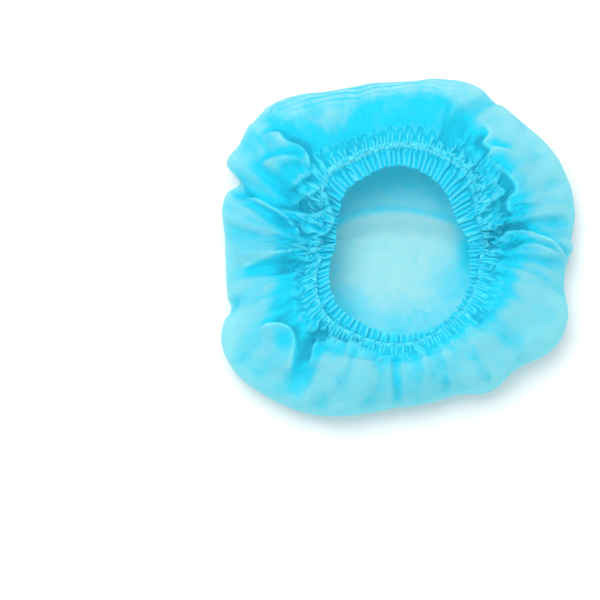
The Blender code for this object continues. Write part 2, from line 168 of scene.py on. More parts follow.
# Laps, where cloth folds over cloth: rise and spread of the upper cloth in millimetres,
# then points along its edge as seen from above, with the upper cloth to their left
LAPS = (
    (4.5, 32, ((-76, 55), (-75, 64), (-78, 73), (-84, 79), (-92, 81), (-97, 84), (-101, 90),
     (-110, 90), (-118, 86))),
    (3.2, 22, ((-79, 66), (-92, 69), (-106, 68), (-120, 63))),
    (3, 11, ((-97, 40), (-86, 45), (-77, 52), (-68, 55))),
    (3.5, 11, ((-94, 27), (-82, 32), (-71, 40), (-63, 46))),
    (3.5, 14, ((-54, 30), (-65, 24), (-78, 22), (-92, 24), (-104, 27))),
    (4.5, 18, ((-70, 0), (-58, 8), (-54, 19), (-58, 29), (-62, 38), (-66, 46))),
    (5, 38, ((-78, -1), (-89, 14), (-99, 23), (-109, 29), (-119, 35), (-128, 39), (-135, 45))),
    (4.5, 14, ((-48, 0), (-58, -4), (-70, -6))),
    (4, 36, ((-137, -25), (-120, -19), (-104, -16), (-90, -12), (-77, -7))),
    (4, 34, ((70, 99), (75, 89), (70, 81), (77, 74), (73, 67), (83, 58), (94, 48), (97, 40),
     (91, 34), (90, 25), (97, 19))),
    (2.5, 9, ((67, 23), (75, 29), (89, 38), (81, 46), (86, 55), (77, 63), (71, 70))),
    (5.5, 15, ((143, -12), (130, -4), (117, 3), (104, 8), (90, 7), (81, 0))),
    (3.5, 22, ((135, -12), (118, -6), (105, -5), (90, -8))),
    (2.5, 14, ((97, 72), (85, 75), (72, 79))),
    (4.5, 24, ((-93, -119), (-89, -107), (-87, -95), (-87, -87), (-90, -79), (-98, -74),
     (-109, -73), (-119, -78))),
    (4.5, 42, ((-25, -89), (-39, -93), (-52, -89), (-66, -84), (-73, -89), (-75, -99),
     (-80, -112))),
)

# The lap of the slack crown over itself inside, written as the laps above are
CROWN_LAPS = (
    (3.5, 34, ((58, 19), (44, 26), (27, 31), (2, 35), (-28, 33), (-46, 26), (-56, 17))),
)

# Gathers: pleats round the line, station where they are deepest, how far they reach
# out over the billow, half depth in millimetres, half depth in the frill
GATHERS = (
    (176, 1.98, 0.22, 0.60, 0.40),
    (60, 1.96, 0.20, 0.60, 0.50),
    (30, 1.86, 0.22, 0.45, 0.25),
    (108, 2.00, 0.10, 0.30, 0.85),
)

# Rows of the sheet: stations where a span starts and ends, rows in it
ROWS = (
    (0.04, 0.60, 22),
    (0.60, 1.00, 14),
    (1.00, 1.60, 35),
    (1.60, 2.00, 32),
    (2.00, 3.00, 22),
)

# Fullness: station, cloth round the sheet there for each metre that it takes up
FULLNESS = (
    (0.00, 1.00), (1.46, 1.00), (1.60, 1.015), (1.72, 1.045), (1.82, 1.12),
    (1.91, 1.32), (2.00, 1.70), (2.30, 1.75), (3.00, 1.85),
)

# Crumpled places: bearing, half spread in degrees, station, reach along the sheet,
# depth and size of the crumples in millimetres, share of sharp creases
CRUMPLES = (
    (181, 12, 1.76, 0.32, 2.4, 8, 0.9),
    (162, 12, 1.78, 0.22, 1.2, 10, 0.7),
    (40, 26, 1.84, 0.22, 1.8, 9, 0.9),
    (6, 14, 1.82, 0.30, 2.8, 8, 0.9),
    (205, 18, 1.72, 0.35, 1.2, 14, 0.5),
    (235, 40, 1.40, 0.45, 2.2, 42, 0.0),
    (315, 40, 1.40, 0.50, 2.2, 45, 0.0),
    (20, 30, 1.35, 0.40, 1.8, 38, 0.0),
    (120, 50, 1.40, 0.40, 1.4, 40, 0.0),
)

# Strength of the gathers over the billow: bearing, share
GATHER_ROUND = (
    (0, 1.8), (12, 2.2), (30, 1.7), (50, 1.9), (70, 1.0), (95, 0.55), (120, 0.8),
    (140, 1.5), (155, 2.3), (172, 2.5), (185, 1.8), (205, 1.3), (230, 0.8),
    (260, 0.5), (290, 0.5), (320, 0.6), (345, 1.1),
)

# Cloth lying in a stack, with painted shade on the crown: station, share of the full stack on
# the crown and the frill. From station 0.30 to 0.92 the crown is deepened as painted shade under
# the billow.
STACK_AND_SHADE = (
    (0.00, 0.04), (0.20, 0.05), (0.30, 0.14), (0.42, 0.40), (0.75, 0.45),
    (0.92, 0.12), (1.00, 0.00), (1.06, 0.12), (1.25, 1.00), (2.25, 1.00),
    (3.00, 0.70),
)

# Cloth lying in a stack round the billow: bearing, stack of its outer part, station
# from which in it lies gathered
STACK_ROUND = (
    (0, 0.28, 1.60), (20, 0.18, 1.58), (42, 0.18, 1.60), (58, 0.22, 1.58),
    (68, 0.22, 1.50), (80, 0.20, 1.45), (95, 0.20, 1.44), (108, 0.22, 1.48),
    (120, 0.28, 1.72), (132, 0.48, 1.50), (145, 0.52, 1.60), (160, 0.52, 1.55),
    (175, 0.42, 1.60), (190, 0.32, 1.62), (205, 0.34, 1.62), (223, 0.42, 1.58),
    (240, 0.30, 1.74), (252, 0.28, 1.76), (275, 0.34, 1.74), (300, 0.17, 1.78),
    (330, 0.15, 1.70),
)

# Tucks, where cloth lies double, painted shade in pits by the ring and on the crown under the
# frill and the billow, and bare places: bearing, station, half width and half length in
# millimetres, change of the stack
TUCKS_AND_SHADE = (
    (174, 2.08, 8, 7, 0.80),
    (146, 1.32, 6, 14, 0.35),
    (142, 1.42, 9, 9, 0.30),
    (163, 1.28, 5, 22, 0.30),
    (170, 1.62, 6, 16, 0.30),
    (8.6, 1.80, 7, 8, 0.85),
    (16, 1.78, 9, 9, 0.60),
    (4, 1.94, 6, 6, 0.70),
    (354, 1.82, 7, 9, 0.45),
    (192, 1.65, 11, 18, 0.35),
    (228, 1.62, 7, 20, 0.30),
    (205, 1.74, 22, 20, 0.25),
    (345, 1.86, 15, 11, 0.28),
    (270, 1.60, 26, 30, 0.10),
    (219, 1.42, 14, 24, -0.22),
    (240, 1.62, 14, 20, -0.28),
    (313, 1.94, 9, 10, -0.25),
    (22, 1.40, 22, 30, -0.15),
    (223, 0.42, 26, 30, 0.34),
    (331, 0.33, 20, 28, 0.26),
    (268, 0.50, 34, 12, 0.10),
    (55, 1.75, 18, 20, 0.25),
    (75, 1.55, 14, 12, 0.15),
    (140, 1.25, 20, 12, -0.20),
    (4, 0.42, 36, 18, 0.50),
    (178, 0.43, 34, 14, 0.14),
)

# How plainly the welded lines show round the elastic: bearing, share
SEAM_ROUND = (
    (0, 0.05), (30, 0.20), (55, 0.40), (80, 0.60), (110, 0.62), (135, 0.50),
    (155, 0.20), (175, 0.00), (215, 0.12), (250, 0.15), (290, 0.12), (330, 0.08),
)

# Hold of the sheet while it settles: station, firmness from 0 to 1
HOLD = (
    (0.00, 1.00), (0.35, 1.00), (0.60, 0.20), (0.90, 0.08), (1.40, 0.05),
    (1.60, 0.02), (1.75, 0.00), (1.97, 0.00), (1.99, 0.50), (2.01, 0.50),
    (2.03, 0.00), (3.00, 0.00),
)


def hermite(knots: np.ndarray, values: np.ndarray, at: np.ndarray) -> np.ndarray:
    """Read a smooth curve through knots, with the slope of each knot's neighbours.

    Args:
        knots: Places of the knots, rising.
        values: Values at the knots.
        at: Places to read.

    Returns:
        The curve's values there.
    """
    slopes = np.gradient(values, knots)
    index = np.clip(np.searchsorted(knots, at, side="right") - 1, 0, len(knots) - 2)
    span = knots[index + 1] - knots[index]
    t = (at - knots[index]) / span
    return (
        values[index] * (1 + 2 * t) * (1 - t) ** 2
        + slopes[index] * span * t * (1 - t) ** 2
        + values[index + 1] * t * t * (3 - 2 * t)
        + slopes[index + 1] * span * t * t * (t - 1)
    )


def round_table(table: tuple, column: int, bearing: np.ndarray) -> np.ndarray:
    """Read a column of a table by bearing, as a smooth closed curve.

    Args:
        table: Rows that start with a bearing in degrees.
        column: Which of a row's numbers to read.
        bearing: Bearings to read at.

    Returns:
        The column's values there.
    """
    knots = np.array([row[0] for row in table], float)
    values = np.array([row[column] for row in table], float)
    knots = np.concatenate([knots[-WRAP:] - 360, knots, knots[:WRAP] + 360])
    values = np.concatenate([values[-WRAP:], values, values[:WRAP]])
    return hermite(knots, values, np.mod(bearing, 360.0))


def smooth_step(low: float, high: float, at: np.ndarray) -> np.ndarray:
    """Rise from 0 at low to 1 at high with eased ends."""
    t = np.clip((at - low) / (high - low), 0, 1)
    return t * t * (3 - 2 * t)


def hump(distance: np.ndarray) -> np.ndarray:
    """Give a round bump: 1 in the middle, exactly 0 from 1 outwards."""
    return np.clip(1 - distance * distance, 0, None) ** 2


def dome(distance: np.ndarray) -> np.ndarray:
    """Give a fuller bump than the hump: 1 in the middle, exactly 0 from 1 outwards."""
    return hump(distance) ** 0.5


def at_bearing(reach: np.ndarray, bearing: np.ndarray) -> np.ndarray:
    """Give points in the floor plane by their reach and bearing from the origin."""
    angle = np.radians(bearing)
    return np.stack([reach * np.cos(angle), reach * np.sin(angle)], axis=-1)


def turn_between(start: np.ndarray, end: np.ndarray) -> np.ndarray:
    """Give the degrees from one bearing to another, the short way round."""
    return (end - start + 180) % 360 - 180


def ring_noise(seed: int, count: int, bearing: np.ndarray) -> np.ndarray:
    """Give a smooth closed random curve round the cap, from -1 to 1.

    Args:
        seed: Picks the curve.
        count: How many random values lie round the cap.
        bearing: Bearings to read at.

    Returns:
        The curve's values there.
    """
    values = np.random.default_rng(seed).uniform(-1, 1, count)
    knots = np.arange(-WRAP, count + WRAP) * 360.0 / count
    values = np.concatenate([values[-WRAP:], values, values[:WRAP]])
    return hermite(knots, values, np.mod(bearing, 360.0))


def cloud(place: np.ndarray, size: float, seed: int) -> np.ndarray:
    """Give a soft random field over the sheet's cut, from -1 to 1.

    Args:
        place: Places on the flat cut.
        size: How far apart its highs lie.
        seed: Picks the field.

    Returns:
        The field's values there.
    """
    source = np.random.default_rng(seed)
    total = np.zeros(place.shape[:-1])
    for _ in range(WAVES):
        angle, phase = source.uniform(0, 2 * math.pi, 2)
        length = size * source.uniform(*WAVE_SPAN)
        way = np.array([math.cos(angle), math.sin(angle)]) * 2 * math.pi / length
        total += np.sin(place @ way + phase)
    return np.tanh(total / math.sqrt(WAVES))


def from_edge(place: np.ndarray, corners: tuple) -> tuple[np.ndarray, np.ndarray]:
    """Give how far places lie from a smooth edge, and where along it.

    Args:
        place: Places in the floor plane.
        corners: Points that the edge runs through.

    Returns:
        The distances, above 0 to the left of the edge, and how far from the nearer
        end of the edge its nearest point lies.
    """
    knots = np.arange(len(corners), dtype=float)
    at = np.linspace(0, knots[-1], EDGE_STEPS * (len(corners) - 1) + 1)
    rows = np.array(corners, float).T
    path = np.stack([hermite(knots, row, at) for row in rows], axis=-1)
    steps = np.linalg.norm(np.diff(path, axis=0), axis=-1)
    reached = np.concatenate([[0], np.cumsum(steps)])
    nearest = np.full(place.shape[:-1], np.inf)
    side = np.zeros_like(nearest)
    along = np.zeros_like(nearest)
    for number, (start, end) in enumerate(zip(path[:-1], path[1:])):
        way = end - start
        off = place - start
        share = np.clip(off @ way / (way @ way), 0, 1)
        gap = np.linalg.norm(off - share[..., None] * way, axis=-1)
        left = np.sign(way[0] * off[..., 1] - way[1] * off[..., 0])
        near = gap < nearest
        nearest = np.where(near, gap, nearest)
        side = np.where(near, left, side)
        along = np.where(near, reached[number] + share * steps[number], along)
    return nearest * side, np.minimum(along, reached[-1] - along)


@dataclass(frozen=True)
class CapShape:
    """The cap's smooth shape, from the same sizes and tables as its solid."""

    width: float = 0.300
    depth: float = 0.291
    height: float = 0.067
    crown_flat: float = 0.185
    crown_curl: float = 1.15
    ring_width: float = 0.144
    ring_length: float = 0.174
    ring_height: float = 0.056
    ring_offset: tuple[float, float] = (0.001, -0.007)
    frill_width: float = 0.018
    fold_depth: float = 0.010
    fold_width: float = 0.024
    fold_rise: float = 0.35
    slack_height: float = 0.012
    slack_thickness: float = 0.028
    slack_width: float = 0.130
    slack_sag: float = 0.014
    slack_place: float = 0.030
    slope_step: float = 0.01
    slope_turn: float = 0.5

    @staticmethod
    def half_size(width: float, length: float, bearing: np.ndarray) -> np.ndarray:
        """Give the reach of an oval of that width and length at a bearing."""
        angle = np.radians(bearing)
        return 1 / np.hypot(np.cos(angle) / (width / 2), np.sin(angle) / (length / 2))

    def raw_outline(self, bearing: np.ndarray) -> np.ndarray:
        """Give the rim from above for a cap of width 1, before it is centred."""
        reach = self.half_size(1, self.depth / self.width, bearing)
        return at_bearing(reach * round_table(OUTLINE, 1, bearing), bearing)

    @functools.cache
    def outline_fit(self) -> tuple[np.ndarray, np.ndarray]:
        """Give what centres the raw outline and brings it to the cap's size.

        Returns:
            Its middle, and its factor each way across.
        """
        whole = self.raw_outline(np.arange(0.0, 360.0, 1.0))
        low = whole.min(axis=0)
        high = whole.max(axis=0)
        return (low + high) / 2, np.array([self.width, self.depth]) / (high - low)

    def outline(self, bearing: np.ndarray) -> np.ndarray:
        """Give the rim of the cap seen from above."""
        middle, size = self.outline_fit()
        return (self.raw_outline(bearing) - middle) * size

    def gather_line(self, bearing: np.ndarray) -> np.ndarray:
        """Give the oval that the elastic draws the cloth in to.

        Args:
            bearing: Bearings to read at.

        Returns:
            The line's points there.
        """
        reach = self.half_size(self.ring_width, self.ring_length, bearing)
        flat = at_bearing(reach * round_table(MOUTH, 1, bearing), bearing)
        flat = flat + np.array(self.ring_offset)
        height = self.ring_height * round_table(MOUTH, 2, bearing)
        return np.concatenate([flat, height[..., None]], axis=-1)

    def frill_slope(self, bearing: np.ndarray) -> np.ndarray:
        """Give the way from the gather line to the frill's edge.

        Args:
            bearing: Bearings to read at.

        Returns:
            The whole way there, as vectors.
        """
        width = self.frill_width * round_table(MOUTH, 3, bearing)
        rise = np.radians(round_table(MOUTH, 4, bearing))
        inward = at_bearing(-width * np.cos(rise), bearing)
        return np.concatenate([inward, (width * np.sin(rise))[..., None]], axis=-1)

    def crown_part(self, bearing: np.ndarray, station: np.ndarray) -> np.ndarray:
        """Give the cloth from the middle of the crown out to the rim.

        Args:
            bearing: Bearings of the places.
            station: Stations of the places, from 0 to 1.

        Returns:
            The points there.
        """
        rim = self.outline(bearing)
        lift = self.height * round_table(BILLOW_LIFT, 1, bearing)
        flat_share = self.crown_flat / min(self.width, self.depth)
        turn = np.clip((station - flat_share) / (1 - flat_share), 0, 1) * math.pi / 2
        curved = flat_share + (1 - flat_share) * np.sin(turn)
        out = np.where(station < flat_share, station, curved)
        height = lift * BILLOW_PROFILE[0][2] * (1 - np.cos(turn)) ** self.crown_curl
        return np.concatenate([rim * out[..., None], height[..., None]], axis=-1)

    def billow_part(self, bearing: np.ndarray, station: np.ndarray) -> np.ndarray:
        """Give the cloth from the rim over the billow to the gather line.

        Args:
            bearing: Bearings of the places.
            station: Stations of the places, from 1 to 2.

        Returns:
            The points there.
        """
        knots, out_share, up_share = (np.array(column) for column in zip(*BILLOW_PROFILE))
        lift = self.height * round_table(BILLOW_LIFT, 1, bearing)
        line = self.gather_line(bearing)
        out = hermite(knots, out_share, station)
        up = hermite(knots, up_share, np.minimum(station, knots[-2]))
        last = smooth_step(knots[-2], knots[-1], station)
        up = up + (line[..., 2] / lift - up_share[-2]) * last
        flat = line[..., :2] + (self.outline(bearing) - line[..., :2]) * out[..., None]
        return np.concatenate([flat, (lift * up)[..., None]], axis=-1)

    def surface(self, bearing: np.ndarray, station: np.ndarray) -> np.ndarray:
        """Give the smooth cap.

        Args:
            bearing: Bearings of the places.
            station: Stations of the places, from 0 to 3.

        Returns:
            The points there.
        """
        crown = self.crown_part(bearing, np.clip(station, 0, RIM))
        billow = self.billow_part(bearing, np.clip(station, RIM, LINE))
        along = (station - LINE)[..., None]
        frill = self.gather_line(bearing) + self.frill_slope(bearing) * along
        picked = np.where((station <= RIM)[..., None], crown, billow)
        return np.where((station > LINE)[..., None], frill, picked)

    def outward(self, bearing: np.ndarray, station: np.ndarray) -> np.ndarray:
        """Give the way out of the smooth cap's outer side.

        Args:
            bearing: Bearings of the places.
            station: Stations of the places.

        Returns:
            The unit normals there.
        """
        step = self.slope_step
        around = self.surface(bearing + self.slope_turn, station)
        around = around - self.surface(bearing - self.slope_turn, station)
        along = self.surface(bearing, np.minimum(station + step, FRILL_EDGE))
        along = along - self.surface(bearing, np.maximum(station - step, step))
        normal = np.cross(around, along)
        return normal / np.linalg.norm(normal, axis=-1, keepdims=True)

    def fold_relief(
        self, bearing: np.ndarray, station: np.ndarray, folds: tuple, fold_fall: float
    ) -> np.ndarray:
        """Give how far folds push the cloth out, or in where below zero.

        Args:
            bearing: Bearings of the places.
            station: Stations of the places.
            folds: Table of the folds.
            fold_fall: Share of a fold's length in which it ends.

        Returns:
            The relief at the places, in metres.
        """
        reach = np.linalg.norm(self.surface(bearing, station)[..., :2], axis=-1)
        inward = np.clip(station - RIM, 0, 1)
        relief = np.zeros_like(reach)
        for rim_bearing, line_bearing, start, end, width, depth in folds:
            middle = rim_bearing + turn_between(rim_bearing, line_bearing) * inward
            off = np.radians(turn_between(middle, bearing)) * reach
            length = end - start
            rise = smooth_step(start, start + self.fold_rise * length, station)
            fall = 1 - smooth_step(end - fold_fall * length, end, station)
            across = hump(off / (self.fold_width * width))
            relief += self.fold_depth * depth * across * rise * fall
        return relief

    def slack_relief(self, place: np.ndarray) -> np.ndarray:
        """Give the height of the tuck where the slack crown folds up inside.

        Args:
            place: Points on the crown.

        Returns:
            How much higher they lie.
        """
        along = place[..., 0] / (self.slack_width / 2)
        across = place[..., 1] - self.slack_place + self.slack_sag * along * along
        return self.slack_height * hump(across / (self.slack_thickness / 2)) * dome(along)


def pull(first: np.ndarray, second: np.ndarray, rest: np.ndarray, give: float) -> None:
    """Move both ends of many edges towards the edges' rest lengths, in place.

    Args:
        first: One end of each edge.
        second: The other end of each edge.
        rest: Rest lengths.
        give: Share of the error to mend, from 0 to 1.
    """
    way = second - first
    size = np.sqrt(np.einsum("...k,...k->...", way, way)) + LEAST_EDGE
    off = way * (0.5 * give * (1 - rest / size))[..., None]
    first += off
    second -= off


def turned(grid: np.ndarray, columns: int) -> np.ndarray:
    """Give a closed grid that starts that many columns further round."""
    return np.roll(grid, -columns, axis=1)


@dataclass(frozen=True)
class ClothSolver:
    """Lets a closed sheet of rows and columns buckle to the lengths of its cut.

    Each step carries the sheet on, gives every edge a few rounds of pulls, and takes
    back a share of any wide drift, so that the sheet wrinkles but keeps its form.
    """

    steps: int = 120
    rounds: int = 5
    keep: float = 0.92
    push: float = 2e-6
    hoop: float = 0.90
    along: float = 0.95
    shear: float = 0.25
    bend_hoop: float = 0.03
    bend_along: float = 0.10
    goal: float = 0.10
    blur_rows: int = 5
    blur_columns: int = 10
    top_speed: float = 0.0006
    slants: tuple[int, int] = (-1, 1)

    def cell_corners(self, plain: np.ndarray, full: np.ndarray) -> tuple:
        """Give the rest lengths of both diagonals of every cell.

        Args:
            plain: The sheet's points before it is gathered.
            full: Fullness of each row, as a column.

        Returns:
            For each way that a diagonal slants, its length in every cell.
        """
        hoops = np.linalg.norm(turned(plain, 1) - plain, axis=-1)
        more = ((full * full - 1) * hoops ** 2)[:-1]
        ways = (turned(plain, turn)[1:] - plain[:-1] for turn in self.slants)
        return tuple(np.sqrt((way ** 2).sum(axis=-1) + more).astype(np.float32) for way in ways)

    def pull_hoops(self, place: np.ndarray, rest: np.ndarray) -> None:
        """Pull the edges that run round the sheet, in place.

        Args:
            place: The sheet's points.
            rest: Rest length of the edge from each point to the next one round.
        """
        pull(place[:, 0::2], place[:, 1::2], rest[:, 0::2], self.hoop)
        moved = turned(place, 1)
        pull(moved[:, 0::2], moved[:, 1::2], rest[:, 1::2], self.hoop)
        place[:] = turned(moved, -1)

    def pull_lengths(self, place: np.ndarray, rest: np.ndarray) -> None:
        """Pull the edges that run from the crown's middle to the frill, in place.

        Args:
            place: The sheet's points.
            rest: Rest length of the edge from each point to the one in the next row.
        """
        for start in (0, 1):
            end = start + (len(place) - start) // 2 * 2
            pull(place[start:end:2], place[start + 1:end:2], rest[start:end - 1:2], self.along)

    def pull_corners(self, place: np.ndarray, corners: tuple) -> None:
        """Pull both diagonals of every cell, in place.

        Args:
            place: The sheet's points.
            corners: For each way that a diagonal slants, its rest length in every cell.
        """
        for turn, rest in zip(self.slants, corners):
            for start in (0, 1):
                end = start + (len(place) - start) // 2 * 2
                far = turned(place[start + 1:end:2], turn)
                pull(place[start:end:2], far, rest[start:end - 1:2], self.shear)
                place[start + 1:end:2] = turned(far, -turn)

    def stiffen(self, place: np.ndarray, hoops: np.ndarray, lengths: np.ndarray) -> None:
        """Hold every second neighbour off, in place, so that the sheet resists bending.

        Args:
            place: The sheet's points.
            hoops: Rest length from each point to the second one round.
            lengths: Rest length from each point to the one two rows on.
        """
        rows, columns = hoops.shape
        for start in (0, 2):
            moved = turned(place, start).reshape(rows, columns // 4, 4, 3)
            rest = turned(hoops, start).reshape(rows, columns // 4, 4)
            pull(moved[:, :, 0], moved[:, :, 2], rest[:, :, 0], self.bend_hoop)
            pull(moved[:, :, 1], moved[:, :, 3], rest[:, :, 1], self.bend_hoop)
            place[:] = turned(moved.reshape(place.shape), -start)
        for start in range(4):
            count = len(place[start + 2::4])
            end = start + 4 * count
            rest = lengths[start::4][:count]
            pull(place[start:end:4], place[start + 2:end + 2:4], rest, self.bend_along)

    @staticmethod
    def normals(place: np.ndarray) -> np.ndarray:
        """Give the way out of the sheet's outer side.

        Args:
            place: The sheet's points.

        Returns:
            The unit normals at the points.
        """
        around = turned(place, 1) - turned(place, -1)
        normal = np.cross(around, np.gradient(place, axis=0))
        return normal / (np.linalg.norm(normal, axis=-1, keepdims=True) + LEAST_LENGTH)

    @staticmethod
    def spread(drift: np.ndarray, rows: int, reach: int) -> np.ndarray:
        """Smooth a drift over the sheet.

        Args:
            drift: How far each point has drifted.
            rows: Rows to each side that count at a point.
            reach: Columns to each side that count.

        Returns:
            The smooth drift.
        """
        for _ in range(BLUR_PASSES):
            wide = np.concatenate([drift[:, -reach:], drift, drift[:, :reach]], axis=1)
            total = np.cumsum(np.pad(wide, ((0, 0), (1, 0), (0, 0))), axis=1, dtype=float)
            span = 2 * reach + 1
            drift = (total[:, span:] - total[:, :-span]) / span
            high = np.pad(drift, ((rows, rows), (0, 0), (0, 0)), mode="edge")
            total = np.cumsum(np.pad(high, ((1, 0), (0, 0), (0, 0))), axis=0)
            span = 2 * rows + 1
            drift = (total[span:] - total[:-span]) / span
        return drift.astype(np.float32)

    def solve(
        self, start: np.ndarray, hoops: np.ndarray, lengths: np.ndarray, corners: tuple,
        held: np.ndarray, floor: float,
    ) -> np.ndarray:
        """Let the sheet settle.

        Args:
            start: The sheet's points, as rows by columns.
            hoops: Rest length of the edge from each point to the next one round.
            lengths: Rest length of the edge from each point to the one in the next row.
            corners: Rest lengths of the cells' diagonals.
            held: How firmly each row is held where it starts, from 0 to 1.
            floor: Height that nothing sinks below.

        Returns:
            The settled points.
        """
        start = start.astype(np.float32)
        hoops = hoops.astype(np.float32)
        lengths = lengths.astype(np.float32)
        hoop_pairs = hoops + turned(hoops, 1)
        length_pairs = lengths[:-1] + lengths[1:]
        held = held.astype(np.float32)[:, None, None]
        place = start.copy()
        speed = np.zeros_like(place)
        for step in range(self.steps):
            speed *= self.keep
            speed += self.normals(place) * (self.push * (1 - step / self.steps))
            before = place.copy()
            place += speed * (1 - held)
            for _ in range(self.rounds):
                self.pull_hoops(place, hoops)
                self.pull_lengths(place, lengths)
                self.pull_corners(place, corners)
                self.stiffen(place, hoop_pairs, length_pairs)
                place += (start - place) * held
                np.maximum(place[..., 2], floor, out=place[..., 2])
            drift = self.spread(place - start, self.blur_rows, self.blur_columns)
            place -= drift * (self.goal * (1 - held))
            speed = place - before
            size = np.linalg.norm(speed, axis=-1, keepdims=True)
            speed *= np.minimum(1, self.top_speed / (size + LEAST_LENGTH))
        return place


# What an input of a node takes: a value, or the output that it reads
Feed = float | tuple | bpy.types.NodeSocket


@dataclass(frozen=True)
class Net:
    """The nodes of one material or node group, and what they read."""

    tree: bpy.types.NodeTree

    def add(self, kind: str, inputs: dict | None = None, **settings: object) -> bpy.types.Node:
        """Add a node.

        Args:
            kind: Its type.
            inputs: Its inputs by name or number, each a value or the output it reads.
            settings: Its other settings by name.

        Returns:
            The node.
        """
        node = self.tree.nodes.new(kind)
        for name, setting in settings.items():
            setattr(node, name, setting)
        for name, value in (inputs or {}).items():
            if isinstance(value, bpy.types.NodeSocket):
                self.tree.links.new(value, node.inputs[name])
            else:
                node.inputs[name].default_value = value
        return node

    def use(self, group: bpy.types.NodeTree, inputs: dict) -> bpy.types.NodeOutputs:
        """Place a node group with its own values, and give its outputs."""
        return self.add("ShaderNodeGroup", inputs, node_tree=group).outputs

    def figure(self, operation: str, *values: Feed, clamp: bool = False) -> bpy.types.NodeSocket:
        """Work a number out of others.

        Args:
            operation: What the node does.
            values: The numbers, or the outputs that give them.
            clamp: Whether the result is held between 0 and 1.

        Returns:
            The output that gives the result.
        """
        inputs = dict(enumerate(values))
        node = self.add("ShaderNodeMath", inputs, operation=operation, use_clamp=clamp)
        return node.outputs["Value"]

    def carry(
        self, value: bpy.types.NodeSocket, span: tuple = (0.0, 1.0), to: tuple = (0.0, 1.0),
        easing: str = "LINEAR",
    ) -> bpy.types.NodeSocket:
        """Carry a number over from one span to another.

        Args:
            value: The output that gives the number.
            span: Where the number starts and ends.
            to: What it becomes there.
            easing: How it runs between.

        Returns:
            The output that gives what it becomes.
        """
        inputs = {"Value": value, "From Min": span[0], "From Max": span[1]}
        inputs |= {"To Min": to[0], "To Max": to[1]}
        node = self.add("ShaderNodeMapRange", inputs, interpolation_type=easing)
        return node.outputs["Result"]

    def blend(self, share: Feed, first: Feed, second: Feed) -> bpy.types.NodeSocket:
        """Mix two colours, and give the mix's output."""
        inputs = {"Factor": share, 6: first, 7: second}
        return self.add("ShaderNodeMix", inputs, data_type="RGBA").outputs[2]


def new_group(name: str, numbers: tuple, results: tuple) -> Net:
    """Start a node group that reads a place and numbers, and gives numbers.

    Args:
        name: Its name.
        numbers: Names of its inputs besides Place.
        results: Names of its outputs.

    Returns:
        Its net, which has no nodes yet.
    """
    group = bpy.data.node_groups.new(name, "ShaderNodeTree")
    group.interface.new_socket("Place", in_out="INPUT", socket_type="NodeSocketVector")
    for way, sockets in (("INPUT", numbers), ("OUTPUT", results)):
        for socket in sockets:
            group.interface.new_socket(socket, in_out=way, socket_type="NodeSocketFloat")
    return Net(group)


@functools.cache
def nonwoven_web() -> bpy.types.NodeTree:
    """Build the shared web of fibres and bonded points.

    Returns:
        A node group that takes Place, in metres on the sheet, and Stack, how much cloth lies
        there together with any painted shade and painted highlight. It gives Depth, how deep its
        colour is, Cover, how much it hides, and Height, its fine relief, each from 0 to 1.
    """
    cloud_span = (0.30, 0.70)
    uneven = (-0.13, 0.13)
    deepening = 2.3
    hidden = (0.45, 0.98)
    net = new_group("nonwoven_web", ("Stack",), ("Depth", "Cover", "Height"))
    start = net.add("NodeGroupInput").outputs
    place = start["Place"]
    soft = {"Vector": place, "Scale": 90.0, "Detail": 5.0, "Roughness": 0.62}
    clouds = net.add("ShaderNodeTexNoise", soft).outputs["Fac"]
    varied = net.carry(clouds, cloud_span, uneven)
    tone = net.figure("ADD", varied, start["Stack"], clamp=True)
    passed = net.figure("POWER", net.figure("SUBTRACT", 1.0, tone), deepening)
    fine = {"Vector": place, "Scale": 1500.0, "Detail": 2.0}
    fibres = net.add("ShaderNodeTexNoise", fine).outputs["Fac"]
    dots = {"Vector": place, "Scale": 650.0, "Randomness": 0.0}
    points = net.add("ShaderNodeTexVoronoi", dots).outputs["Distance"]
    given = {
        "Depth": net.figure("SUBTRACT", 1.0, passed),
        "Cover": net.carry(tone, to=hidden),
        "Height": net.figure("MULTIPLY", fibres, points),
    }
    net.add("NodeGroupOutput", given)
    return net.tree


@functools.cache
def seam_lines() -> bpy.types.NodeTree:
    """Build the two welded lines that hold the elastic.

    Returns:
        A node group that takes Place, in metres on the sheet, and Reach, how far
        from the middle the elastic runs, and gives Line, 1 on the two lines.
    """
    half_apart = 0.0017
    soft_edge = (0.0003, 0.0008)
    net = new_group("seam_lines", ("Reach",), ("Line",))
    start = net.add("NodeGroupInput").outputs
    far = net.add("ShaderNodeVectorMath", {0: start["Place"]}, operation="LENGTH")
    off = net.figure("SUBTRACT", far.outputs["Value"], start["Reach"])
    gap = net.figure("SUBTRACT", net.figure("ABSOLUTE", off), half_apart)
    away = net.figure("ABSOLUTE", gap)
    line = net.carry(away, soft_edge, (1.0, 0.0), "SMOOTHSTEP")
    net.add("NodeGroupOutput", {"Line": line})
    return net.tree


@functools.cache
def packing_crease_shade() -> bpy.types.NodeTree:
    """Build the painted shade of the fine creases that run along the rim, from how the cap was
    packed.

    Returns:
        A node group that takes Place, in metres on the sheet, and Strength, and gives Crease,
        how much painted shade darkens the crease lines.
    """
    narrow_span = (0.45, 1.0)
    most = 0.55
    net = new_group("packing_crease_shade", ("Strength",), ("Crease",))
    start = net.add("NodeGroupInput").outputs
    waves = {"Vector": start["Place"], "Scale": 42.0, "Distortion": 7.0, "Detail": 1.0}
    waves["Detail Scale"] = 0.35
    kind = {"wave_type": "RINGS", "rings_direction": "SPHERICAL"}
    rings = net.add("ShaderNodeTexWave", waves, **kind).outputs["Fac"]
    narrow = net.carry(rings, narrow_span, (0.0, most))
    net.add("NodeGroupOutput", {"Crease": net.figure("MULTIPLY", narrow, start["Strength"])})
    return net.tree


